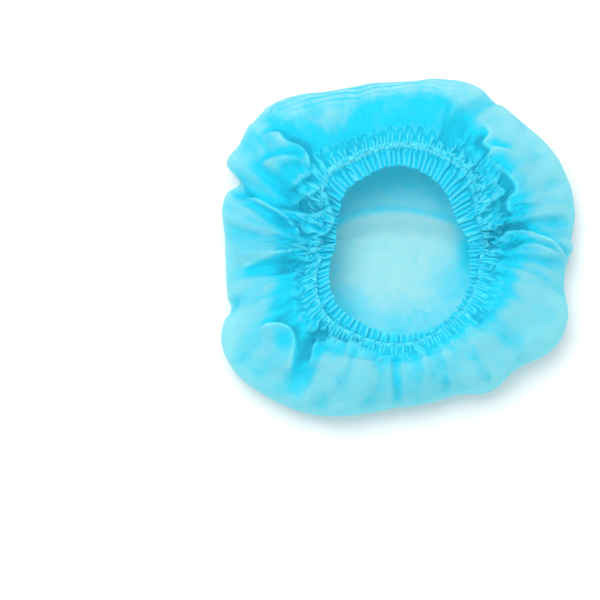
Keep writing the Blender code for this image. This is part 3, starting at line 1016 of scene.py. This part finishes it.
@functools.cache
def slack_fold_and_shade() -> bpy.types.NodeTree:
    """Build the place on the crown where its slack lies double and lies in painted shade behind
    the fold.

    Returns:
        A node group that takes Place, on the piece, with Middle, Bend and Top, and
        gives Double, 1 just behind the fold and less away from it, for the doubled cloth and its
        painted shade.
    """
    soft_edge = (-0.0005, 0.0025)
    net = new_group("slack_fold_and_shade", ("Middle", "Bend", "Top"), ("Double",))
    start = net.add("NodeGroupInput").outputs
    parts = net.add("ShaderNodeSeparateXYZ", {0: start["Place"]}).outputs
    square = net.figure("MULTIPLY", parts["X"], parts["X"])
    bent = net.figure("MULTIPLY_ADD", square, start["Bend"], parts["Y"])
    past = net.figure("SUBTRACT", bent, start["Middle"])
    edge = net.carry(past, soft_edge, easing="SMOOTHSTEP")
    below = net.figure("LESS_THAN", parts["Z"], start["Top"])
    net.add("NodeGroupOutput", {"Double": net.figure("MULTIPLY", edge, below)})
    return net.tree


def opaque(colour: tuple[float, float, float]) -> tuple[float, float, float, float]:
    """Give a colour as a colour socket takes it."""
    return (*colour, 1.0)


@dataclass(frozen=True)
class NonwovenFinish:
    """Thin spunbond cloth: how it colours, scatters and lets light through."""

    name: str = "nonwoven_cloth"
    thin: tuple[float, float, float] = (0.500, 0.950, 0.970)
    stacked: tuple[float, float, float] = (0.002, 0.600, 0.840)
    # Colour of the welded lines, and of the painted highlights on folded edges and lap lips
    welded_and_highlight: tuple[float, float, float] = (0.260, 0.920, 0.970)
    # Painted shade in the deepest pits of the gathered ring
    pit_shade: tuple[float, float, float] = (0.002, 0.300, 0.480)
    through: tuple[float, float, float] = (0.170, 0.850, 0.910)
    # Painted shade: the greyer, dimmer colour of the crown inside the cap
    inside: tuple[float, float, float] = (0.590, 0.600, 0.595)
    through_share: float = 0.40
    roughness: float = 0.72
    specular: float = 0.12
    # Darkening behind the crown's slack fold: partly its doubled cloth, partly painted shade
    double_and_shade_show: float = 0.13
    double_top: float = 0.022
    pit_shade_span: tuple[float, float] = (1.05, 1.70)
    bump: float = 0.35
    relief: float = 0.0002

    def make(self, seam_reach: float, shape: CapShape) -> bpy.types.Material:
        """Build the finish as a material.

        Args:
            seam_reach: How far from the cut's middle the elastic runs.
            shape: The cap's shape.

        Returns:
            A material whose pattern follows the sheet's own cut.
        """
        made = bpy.data.materials.new(self.name)
        made.use_nodes = True
        made.node_tree.nodes.clear()
        net = Net(made.node_tree)
        place = net.add("ShaderNodeUVMap", uv_map="cut").outputs["UV"]
        stack, edge, seam, crease_shade, inner = (
            net.add("ShaderNodeAttribute", attribute_name=name).outputs["Fac"]
            for name in ("stack", "edge", "seam", "crease_shade", "inside")
        )
        tuck = {
            "Place": net.add("ShaderNodeTexCoord").outputs["Object"],
            "Middle": shape.slack_place,
            "Bend": shape.slack_sag / (shape.slack_width / 2) ** 2,
            "Top": self.double_top,
        }
        double_and_shade = net.use(slack_fold_and_shade(), tuck)["Double"]
        doubled_and_shaded = net.figure("MULTIPLY_ADD", double_and_shade, self.double_and_shade_show, stack)
        # Painted shade along the creases from packing
        crease = net.use(packing_crease_shade(), {"Place": place, "Strength": crease_shade})["Crease"]
        stack_and_shade = net.figure("ADD", doubled_and_shaded, crease)
        web = net.use(nonwoven_web(), {"Place": place, "Stack": stack_and_shade})
        line = net.use(seam_lines(), {"Place": place, "Reach": seam_reach})["Line"]
        # Welded seam lines, and painted highlights on folded edges
        seam_and_highlight = net.figure("MAXIMUM", net.figure("MULTIPLY", line, seam), edge)
        # The crown inside the cap takes the inside colour, a painted shade
        colour = net.blend(inner, opaque(self.thin), opaque(self.inside))
        colour = net.blend(web["Depth"], colour, opaque(self.stacked))
        # Painted shade in pits, where the stack runs deepest
        colour = net.blend(net.carry(stack_and_shade, self.pit_shade_span), colour, opaque(self.pit_shade))
        bump = {"Strength": self.bump, "Distance": self.relief, "Height": web["Height"]}
        surface = {
            "Base Color": net.blend(seam_and_highlight, colour, opaque(self.welded_and_highlight)),
            "Roughness": self.roughness,
            "Specular IOR Level": self.specular,
            "Alpha": net.figure("ADD", web["Cover"], seam_and_highlight, clamp=True),
            "Normal": net.add("ShaderNodeBump", bump).outputs["Normal"],
        }
        body = net.add("ShaderNodeBsdfPrincipled", surface).outputs["BSDF"]
        passing = {"Color": opaque(self.through)}
        behind = net.add("ShaderNodeBsdfTranslucent", passing).outputs["BSDF"]
        both = {"Fac": self.through_share, 1: body, 2: behind}
        whole = net.add("ShaderNodeMixShader", both).outputs["Shader"]
        net.add("ShaderNodeOutputMaterial", {"Surface": whole})
        return made


@dataclass(frozen=True)
class HiddenFinish:
    """Finish of what the gathered cloth wraps: the elastic and the bonded ends."""

    name: str
    colour: tuple[float, float, float]
    dark: tuple[float, float, float]
    stack: float
    roughness: float
    relief: float
    bump: float = 0.4

    def make(self) -> bpy.types.Material:
        """Build the finish.

        Returns:
            A material on the piece's own coordinates.
        """
        made = bpy.data.materials.new(self.name)
        made.use_nodes = True
        made.node_tree.nodes.clear()
        net = Net(made.node_tree)
        place = net.add("ShaderNodeTexCoord").outputs["Object"]
        web = net.use(nonwoven_web(), {"Place": place, "Stack": self.stack})
        bump = {"Strength": self.bump, "Distance": self.relief, "Height": web["Height"]}
        surface = {
            "Base Color": net.blend(web["Depth"], opaque(self.colour), opaque(self.dark)),
            "Roughness": self.roughness,
            "Alpha": web["Cover"],
            "Normal": net.add("ShaderNodeBump", bump).outputs["Normal"],
        }
        body = net.add("ShaderNodeBsdfPrincipled", surface).outputs["BSDF"]
        net.add("ShaderNodeOutputMaterial", {"Surface": body})
        return made


class Wrapped(Enum):
    """What lies in the gathered cloth, with its finish."""

    ELASTIC = HiddenFinish(
        name="elastic",
        colour=(0.16, 0.80, 0.92),
        dark=(0.05, 0.66, 0.86),
        stack=0.55,
        roughness=0.50,
        relief=0.00015,
    )
    BOND = HiddenFinish(
        name="bonded_cloth",
        colour=(0.02, 0.68, 0.86),
        dark=(0.008, 0.58, 0.80),
        stack=0.80,
        roughness=0.75,
        relief=0.00025,
    )


@dataclass(frozen=True)
class WrappedPieces:
    """The elastic in its two runs, and the bonded stack at each end."""

    nodes: tuple[tuple[str, Wrapped], ...] = (
        ("elastic_back", Wrapped.ELASTIC),
        ("elastic_front", Wrapped.ELASTIC),
        ("end_bond_left", Wrapped.BOND),
        ("end_bond_right", Wrapped.BOND),
    )

    def dress(self) -> None:
        """Give each node its finish."""
        made = {kind: kind.value.make() for kind in Wrapped}
        for name, kind in self.nodes:
            node = bpy.data.objects[name]
            node.data.materials.clear()
            node.data.materials.append(made[kind])
            LOG.info("%s: %s", name, kind.value.name)


@dataclass(frozen=True)
class GatheredCloth:
    """The cap's sheet: crown, billow, gathers and frill in one piece.

    Lengths are metres. A span is a pair of stations between which something sets in.
    """

    shape: CapShape
    solver: ClothSolver
    columns: int = 768
    cut_size: float = 0.533
    cut_area: float = 0.223
    floor_gap: float = 0.0004
    fold_fall: float = 0.25
    pucker_fall: float = 0.12

    # Cloth over the elastic and the bonded ends, and how the columns crowd there
    line_cover: float = 0.0034
    line_cover_reach: float = 0.16
    bond_cover: float = 0.0062
    bond_cover_span: tuple[float, float] = (1.84, 1.96)
    bond_turn: float = 13.0
    bond_bearings: tuple[float, float] = (178.0, 5.0)
    bond_pull: float = 4.0
    bond_spread: float = 60.0

    # Gathers: noise that they wander, sway and swell with, each its first seed, its
    # fewest values round the cap and pleats to a value, then its strengths, how square
    # the pleats are, and from how many pleats on they are as strong all round
    gather_noise: tuple[tuple[int, int, int], ...] = ((11, 9, 3), (31, 7, 4), (51, 9, 2))
    wander: float = 0.45
    wander_turn: float = 1.6
    squareness: float = 0.8
    uneven: float = 0.45
    fine_pleats: int = 100

    # Crumples: first seeds of their two fields, and the creases' size in metres for
    # a crumple of a millimetre, and their sharpness
    crumple_seed: int = 71
    crease_seed: int = 91
    crease_size: float = 0.0014
    crease_sharp: float = 2.2

    # Laps: where they lie, how they end, and the painted highlight on their lips and painted
    # shadow beside their edges
    lap_span: tuple[float, float] = (1.02, 1.15)
    lap_end: float = 0.011
    lap_edge: float = 0.0013
    lap_line: float = 0.0020
    lap_highlight_show: float = 185.0
    lap_highlight: float = 0.28
    lap_highlight_reach: float = 0.009
    lap_shadow: float = 0.62
    lap_shadow_reach: float = 0.010
    crown_lap_share: float = 0.6
    crown_lap_edge: float = 0.0045

    # Stack: how much cloth lies at a point, with what varies it, and painted shade in fold
    # furrows and painted highlights on ridges and swells. A cloud is its share, size and seed,
    # and a blur is over so many rows and columns to each side
    gathered_stack: float = 0.96
    gathered_ease: float = 0.09
    ring_stack: float = 0.14
    ring_span: tuple[float, float] = (1.75, 1.95)
    fold_shade_and_highlight: float = 0.22
    valley_depth: float = 0.009
    cloud_span: tuple[float, float] = (1.0, 1.2)
    clouds: tuple[tuple[float, float, int], ...] = ((0.12, 0.030, 5), (0.05, 0.010, 6))
    streak_seed: int = 7
    streaks: int = 170
    streak_stack: float = 0.11
    streak_station: float = 1.68
    streak_reach: float = 0.34
    edge_blur: tuple[int, int] = (1, 3)
    edge_height: float = 0.00025
    edge_highlight: float = 0.12
    edge_far_share: float = 0.3
    edge_highlight_span: tuple[float, float] = (1.72, 1.90)
    swell_blur: tuple[int, int] = (4, 10)
    swell_height: float = 0.0016
    swell_highlight: float = 0.18
    most_stack: float = 1.7

    # Painted highlight on the folded edges and on the laps' lips
    edge_show: float = 0.34
    edge_dull: float = 0.40
    edge_span: tuple[float, float] = (1.74, 1.92)
    frill_edge_share: float = 0.5

    # Painted shade on the inner side of the crown, and painted shade along creases from packing
    inside_shade_span: tuple[float, float] = (0.7, 1.0)
    packed_station: float = 1.26
    packed_reach: float = 0.24
    packed_bearing: float = 104.0
    packed_turn: float = 46.0

    def stations(self) -> np.ndarray:
        """Give the stations of the sheet's rows, from near the middle to the edge."""
        spans = [np.linspace(start, end, rows, endpoint=False) for start, end, rows in ROWS]
        return np.append(np.concatenate(spans), ROWS[-1][1])

    def even_bearings(self) -> np.ndarray:
        """Give evenly spaced bearings for the columns."""
        return np.arange(self.columns) * 360.0 / self.columns

    def bearings(self) -> np.ndarray:
        """Give where the columns lie round the cap.

        Returns:
            Their bearings, drawn together at the bonded sides.
        """
        even = self.even_bearings()
        drawn = even.copy()
        for bearing in self.bond_bearings:
            away = turn_between(bearing, even)
            drawn -= self.bond_pull * np.sin(np.radians(away)) * hump(away / self.bond_spread)
        return drawn

    @functools.cache
    def points(self) -> tuple[np.ndarray, np.ndarray]:
        """Give the station and bearing of every point, as rows by columns."""
        station, bearing = np.meshgrid(self.stations(), self.bearings(), indexing="ij")
        return station, bearing

    def gather_relief(self, even: np.ndarray, station: np.ndarray) -> np.ndarray:
        """Give the waves of the gathers.

        Args:
            even: Place round the sheet in degrees, before the columns are drawn in.
            station: Place along the sheet.

        Returns:
            How far the waves push the cloth out, in metres.
        """
        relief = np.zeros_like(station)
        for level, (count, deepest, reach, depth, frill_depth) in enumerate(GATHERS):
            wander, sway, swell = (
                ring_noise(seed + level, max(fewest, count // pleats), even)
                for seed, fewest, pleats in self.gather_noise
            )
            drift = wander * self.wander + sway * (LINE - station)
            wave = np.sin(np.radians(even * count) + drift * self.wander_turn)
            wave = np.sign(wave) * np.abs(wave) ** self.squareness
            strength = 1 + self.uneven * swell
            near = hump((np.minimum(station, deepest) - deepest) / reach)
            if count < self.fine_pleats:
                near = near * np.where(station < LINE, round_table(GATHER_ROUND, 1, even), 1)
            inside = np.clip(station - LINE, 0, 1)
            size = depth + (frill_depth - depth) * inside
            relief += MILLIMETRE * size * near * strength * wave
        return relief

    def cut_places(self) -> np.ndarray:
        """Give where the sheet's points lie on its flat cut."""
        reach = self.reaches()[:, None] * np.ones(self.columns)
        return at_bearing(reach, self.even_bearings()[None, :])

    def crumple_relief(self, bearing: np.ndarray, station: np.ndarray) -> np.ndarray:
        """Give how far crumples push the cloth out.

        Args:
            bearing: Bearings of the places.
            station: Stations of the places.

        Returns:
            The relief at the places, in metres.
        """
        cut = self.cut_places()
        relief = np.zeros_like(station)
        for row, (middle, spread, along, reach, depth, size, sharp) in enumerate(CRUMPLES):
            near = dome(turn_between(middle, bearing) / spread)
            near = near * dome((station - along) / reach)
            field = cloud(cut, MILLIMETRE * size, self.crumple_seed + row)
            crease = cloud(cut, self.crease_size * size, self.crease_seed + row)
            crease = 1 - self.crease_sharp * np.abs(crease)
            relief += MILLIMETRE * depth * near * ((1 - sharp) * field + sharp * crease)
        return relief

    @functools.cache
    def laps(self) -> list[tuple[float, float, np.ndarray, np.ndarray, np.ndarray]]:
        """Give each lap's rise and spread, and how far from its edge each point lies.

        Returns:
            For each lap its rise and spread in metres, the distances from its edge,
            above 0 under the upper cloth, the share of the step that is reached there,
            and its strength at the points.
        """
        station, bearing = self.points()
        place = self.shape.surface(bearing, station)[..., :2]
        outer = smooth_step(*self.lap_span, station)
        crown = self.crown_lap_share * (station < RIM)
        found = []
        tables = ((LAPS, outer, self.lap_edge), (CROWN_LAPS, crown, self.crown_lap_edge))
        for table, where, soft in tables:
            for rise, spread, corners in table:
                edge = tuple((x / PER_METRE, y / PER_METRE) for x, y in corners)
                off, inner = from_edge(place, edge)
                strength = smooth_step(0, self.lap_end, inner) * where
                lift = smooth_step(-soft, soft, off)
                found.append((rise / PER_METRE, spread / PER_METRE, off, lift, strength))
        return found

    def lap_over(self, grid: np.ndarray) -> np.ndarray:
        """Lift the upper cloth of each lap over what it laps.

        Args:
            grid: The sheet's points, as rows by columns.

        Returns:
            The points with the laps.
        """
        station, bearing = self.points()
        total = np.zeros_like(station)
        for rise, spread, off, lift, strength in self.laps():
            total += rise * lift * hump(np.maximum(off, 0) / spread) * strength
        side = np.where(station < RIM, -1, 1)
        out = self.shape.outward(bearing, station) * side[..., None]
        return grid + out * total[..., None]

    def lap_highlight_and_shadow(self) -> np.ndarray:
        """Give the painted highlight and painted shadow that laps put on the stack.

        Returns:
            Below zero on a lap by its edge, as a painted highlight, and above zero beside the
            edge, as a painted shadow.
        """
        total = 0.0
        for _, _, off, lift, strength in self.laps():
            highlight = self.lap_highlight * hump(np.maximum(off, 0) / self.lap_highlight_reach)
            shadow = self.lap_shadow * hump(np.minimum(off, 0) / self.lap_shadow_reach)
            total = total + (shadow * (1 - lift) - highlight * lift) * strength
        return total

    def places(self, gathered: bool) -> np.ndarray:
        """Give the sheet's points, as rows by columns.

        Args:
            gathered: Whether the waves of the gathers are on it.

        Returns:
            The points, none of them below the floor.
        """
        station, bearing = self.points()
        base = self.shape.surface(bearing, station)
        relief = self.shape.fold_relief(bearing, station, FOLDS, self.fold_fall)
        relief = relief + self.shape.fold_relief(bearing, station, PUCKERS, self.pucker_fall)
        relief = relief + self.crumple_relief(bearing, station)
        cover = self.line_cover * hump((station - LINE) / self.line_cover_reach)
        for middle in self.bond_bearings:
            over = dome(turn_between(middle, bearing) / self.bond_turn)
            over = over * smooth_step(*self.bond_cover_span, station)
            cover = np.maximum(cover, self.bond_cover * over)
        relief = relief + cover
        if gathered:
            around = np.broadcast_to(self.even_bearings(), station.shape)
            relief = relief + self.gather_relief(around, station)
        placed = base + self.shape.outward(bearing, station) * relief[..., None]
        placed[..., 2] += np.where(station < RIM, self.shape.slack_relief(base), 0)
        placed[..., 2] = np.maximum(placed[..., 2], self.floor_gap)
        return placed

    @functools.cache
    def reaches(self) -> np.ndarray:
        """Give how far from the middle of the flat cut each row lies.

        Returns:
            The length of smooth cloth from the middle to each row, averaged round.
        """
        station, bearing = self.points()
        smooth = self.shape.surface(bearing, station)
        steps = np.linalg.norm(np.diff(smooth, axis=0), axis=-1).mean(axis=1)
        start = np.linalg.norm(smooth[0, :, :2], axis=-1).mean()
        return start + np.concatenate([[0], np.cumsum(steps)])

    def seam_reach(self) -> float:
        """Give how far from the middle of the flat cut the elastic runs."""
        return float(np.interp(LINE, self.stations(), self.reaches()))

    def settle(self) -> np.ndarray:
        """Let the gathered sheet buckle to the lengths of its cut.

        Returns:
            The settled points, as rows by columns.
        """
        plain = self.places(gathered=False)
        station = self.stations()
        fullness = np.interp(station, *zip(*FULLNESS))[:, None]
        hoops = np.linalg.norm(turned(plain, 1) - plain, axis=-1)
        lengths = np.linalg.norm(np.diff(plain, axis=0), axis=-1)
        held = np.interp(station, *zip(*HOLD))
        corners = self.solver.cell_corners(plain, fullness)
        gathered = self.places(gathered=True)
        return self.solver.solve(
            gathered, hoops * fullness, lengths, corners, held, self.floor_gap
        )

    def ridges(self, grid: np.ndarray, blur: tuple[int, int]) -> np.ndarray:
        """Give how far each point stands out of the cloth in so many rows and columns."""
        off = grid - self.solver.spread(grid, *blur)
        return np.einsum("...k,...k->...", off, self.solver.normals(grid))

    def tucked_and_shaded(self, whole: np.ndarray) -> np.ndarray:
        """Lay more cloth in tucks, painted shade in pits and on the crown's inner side, and less
        cloth in bare places.

        Args:
            whole: The stack at each point without them.

        Returns:
            The stack with them.
        """
        station, bearing = self.points()
        place = self.shape.surface(bearing, station)
        reach = np.linalg.norm(place[..., :2], axis=-1)
        for middle, along, half_width, half_length, change in TUCKS_AND_SHADE:
            off = np.radians(turn_between(middle, bearing)) * reach * PER_METRE / half_width
            up = self.reaches() - np.interp(along, self.stations(), self.reaches())
            up = up * PER_METRE / half_length
            whole = whole + change * hump(np.hypot(off, up[:, None]))
        return whole

    def stack(self, grid: np.ndarray) -> np.ndarray:
        """Give how much cloth lies stacked at each point, 1 for a full stack, with painted shade
        and painted highlights added.

        Args:
            grid: The sheet's points, as rows by columns.

        Returns:
            The stack, with painted highlights on ridges, swells and lap lips, and painted shade
            in fold furrows, pits, beside laps and on the crown's inner side.
        """
        station, bearing = self.points()
        outer = round_table(STACK_ROUND, 1, bearing)
        inward = station - round_table(STACK_ROUND, 2, bearing)
        inward = smooth_step(-self.gathered_ease, self.gathered_ease, inward)
        body = outer + (self.gathered_stack - outer) * inward
        body = body + self.ring_stack * smooth_step(*self.ring_span, station)
        whole = np.interp(station, *zip(*STACK_AND_SHADE)) * np.where(station < RIM, 1, body)
        # Painted shade in the folds' furrows and painted highlight on their ridges
        valley = self.shape.fold_relief(bearing, station, FOLDS, self.fold_fall)
        whole = whole + self.fold_shade_and_highlight * np.tanh(-valley / self.valley_depth)
        whole = self.tucked_and_shaded(whole) + self.lap_highlight_and_shadow()
        soft = smooth_step(*self.cloud_span, station)
        cut = self.cut_places()
        whole = whole + soft * sum(share * cloud(cut, *kind) for share, *kind in self.clouds)
        streaks = ring_noise(self.streak_seed, self.streaks, bearing)
        streaks = streaks * hump((station - self.streak_station) / self.streak_reach)
        whole = whole + self.streak_stack * streaks
        # Painted highlights on fine ridges and on swells
        far = self.edge_far_share
        fine = far + (1 - far) * smooth_step(*self.edge_highlight_span, station)
        edges = np.tanh(self.ridges(grid, self.edge_blur) / self.edge_height) * fine
        swells = np.tanh(self.ridges(grid, self.swell_blur) / self.swell_height)
        whole = whole - soft * (self.edge_highlight * edges + self.swell_highlight * swells)
        return np.clip(whole, 0, self.most_stack)

    def edges(self, grid: np.ndarray) -> np.ndarray:
        """Give the painted highlight where the light catches on the cloth's folded edges and on
        the laps' lips.

        Args:
            grid: The sheet's points, as rows by columns.

        Returns:
            The edges at each point, 0 where there are none.
        """
        station = self.stations()[:, None]
        sharp = np.tanh(self.ridges(grid, self.edge_blur) / self.edge_height)
        caught = np.clip((sharp - self.edge_dull) / (1 - self.edge_dull), 0, 1)
        caught = caught * smooth_step(*self.edge_span, station)
        caught = caught * (1 - self.frill_edge_share * (station > LINE))
        for rise, _, off, _, strength in self.laps():
            line = hump((off - self.lap_edge) / self.lap_line) * strength
            caught = np.maximum(caught, line * rise * self.lap_highlight_show)
        return caught * self.edge_show

    def build(self, finish: bpy.types.Material) -> bpy.types.Object:
        """Build the sheet.

        Args:
            finish: Its material.

        Returns:
            The finished piece.
        """
        grid = self.settle()
        grid = self.lap_over(grid)
        rows, columns = grid.shape[:2]
        middle = grid[:1].mean(axis=1)
        points = np.concatenate([grid.reshape(-1, 3), middle])
        row, column = np.meshgrid(np.arange(rows - 1), np.arange(columns), indexing="ij")
        near = row * columns + column
        beside = row * columns + (column + 1) % columns
        quads = np.stack([near, beside, beside + columns, near + columns], axis=-1)
        faces = quads.reshape(-1, 4).tolist()
        faces += [(rows * columns, (n + 1) % columns, n) for n in range(columns)]
        mesh = bpy.data.meshes.new("cap_cloth")
        mesh.from_pydata(points.tolist(), [], faces)
        mesh.update()
        self.map_cut(mesh, grid)
        mesh.shade_smooth()
        sheet = bpy.data.objects.new("cap_cloth", mesh)
        bpy.context.collection.objects.link(sheet)
        sheet.data.materials.append(finish)
        return sheet

    def map_cut(self, mesh: bpy.types.Mesh, grid: np.ndarray) -> None:
        """Lay out the sheet's flat cut, in metres, as its UV map, and its stacks with their
        painted shade and painted highlights.

        Args:
            mesh: The sheet's mesh.
            grid: Its points, as rows by columns.
        """
        cut = np.concatenate([self.cut_places().reshape(-1, 2), np.zeros((1, 2))])
        layer = mesh.uv_layers.new(name="cut")
        index = np.empty(len(mesh.loops), int)
        mesh.loops.foreach_get("vertex_index", index)
        layer.data.foreach_set("uv", cut[index].ravel())
        station, bearing = self.points()
        crease_shade = hump((station - self.packed_station) / self.packed_reach)
        away = turn_between(self.packed_bearing, bearing) / self.packed_turn
        shades = (
            ("stack", self.stack(grid), STACK_AND_SHADE[0][1]),
            ("edge", self.edges(grid), 0.0),
            # The inside mask gives the crown inside the cap its painted shade
            ("inside", 1 - smooth_step(*self.inside_shade_span, station), 1.0),
            ("seam", round_table(SEAM_ROUND, 1, bearing), 0.0),
            ("crease_shade", crease_shade * dome(away), 0.0),
        )
        for name, values, middle in shades:
            layer = mesh.attributes.new(name, "FLOAT", "POINT")
            layer.data.foreach_set("value", np.append(values, middle))

    def dress(self, sheet: bpy.types.Object) -> None:
        """Say what the sheet is and what it stands for.

        Args:
            sheet: The finished piece.
        """
        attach(sheet, "root")
        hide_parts("cap_body")


@dataclass(frozen=True)
class Studio:
    """Pale floor, soft light from the upper left, and the camera."""

    floor_size: float = 6.0
    elevation: float = 78.0
    distance: float = 2.4
    frame_width: float = 0.512
    aim: tuple[float, float, float] = (-0.0835, -0.0408, 0.0)
    floor_colour: tuple[float, float, float] = (0.81, 0.80, 0.80)
    sky: float = 0.84
    sky_colour: tuple[float, float, float] = (1.0, 1.0, 1.0)
    key_power: float = 48.0
    key_place: tuple[float, float, float] = (-0.50, 0.46, 2.4)
    key_size: float = 1.7
    floor_cells: int = 8
    floor_roughness: float = 0.9
    floor_specular: float = 0.1
    sensor: float = 36.0
    sight: float = 20.0

    def build(self) -> None:
        """Build the floor, the lights and the camera."""
        bpy.ops.mesh.primitive_grid_add(
            x_subdivisions=self.floor_cells,
            y_subdivisions=self.floor_cells,
            size=self.floor_size,
            location=(0, 0, 0),
        )
        floor = bpy.context.object
        floor.name = "studio_floor"
        floor.data.materials.append(self.floor_finish())
        floor.select_set(False)
        self.light()
        self.camera()

    def floor_finish(self) -> bpy.types.Material:
        """Build the floor's finish.

        Returns:
            A plain pale material.
        """
        made = bpy.data.materials.new("studio_floor")
        made.use_nodes = True
        shader = made.node_tree.nodes["Principled BSDF"]
        shader.inputs["Base Color"].default_value = opaque(self.floor_colour)
        shader.inputs["Roughness"].default_value = self.floor_roughness
        shader.inputs["Specular IOR Level"].default_value = self.floor_specular
        return made

    def light(self) -> None:
        """Light the scene: an even sky and one large soft lamp."""
        world = bpy.data.worlds.new("studio")
        bpy.context.scene.world = world
        world.use_nodes = True
        sky = world.node_tree.nodes["Background"]
        sky.inputs["Color"].default_value = opaque(self.sky_colour)
        sky.inputs["Strength"].default_value = self.sky
        lamp = bpy.data.lights.new("key", "AREA")
        lamp.shape = "DISK"
        lamp.size = self.key_size
        lamp.energy = self.key_power
        key = bpy.data.objects.new("key", lamp)
        key.location = self.key_place
        key.rotation_euler = (-Vector(self.key_place)).to_track_quat("-Z", "Y").to_euler()
        bpy.context.collection.objects.link(key)
        bpy.context.scene.view_settings.view_transform = "Standard"

    def camera(self) -> None:
        """Set the camera at the photograph's angle and framing."""
        rise = math.radians(self.elevation)
        back = Vector((0, -math.cos(rise), math.sin(rise)))
        lens = bpy.data.cameras.new("camera")
        lens.sensor_width = self.sensor
        lens.lens = self.sensor * self.distance / self.frame_width
        lens.clip_end = self.sight
        camera = bpy.data.objects.new("camera", lens)
        camera.location = Vector(self.aim) + back * self.distance
        camera.rotation_euler = (math.pi / 2 - rise, 0, 0)
        bpy.context.collection.objects.link(camera)
        bpy.context.scene.camera = camera


def main() -> None:
    """Build the cap and its studio."""
    logging.basicConfig(level=logging.INFO, format="%(name)s: %(message)s")
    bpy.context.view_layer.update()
    for thing in list(bpy.context.selected_objects):
        thing.select_set(False)
    shape = CapShape()
    cloth = GatheredCloth(shape, ClothSolver())
    sheet = cloth.build(NonwovenFinish().make(cloth.seam_reach(), shape))
    cloth.dress(sheet)
    LOG.info("cloth: %d faces", len(sheet.data.polygons))
    WrappedPieces().dress()
    Studio().build()


if __name__ == "__main__":
    main()
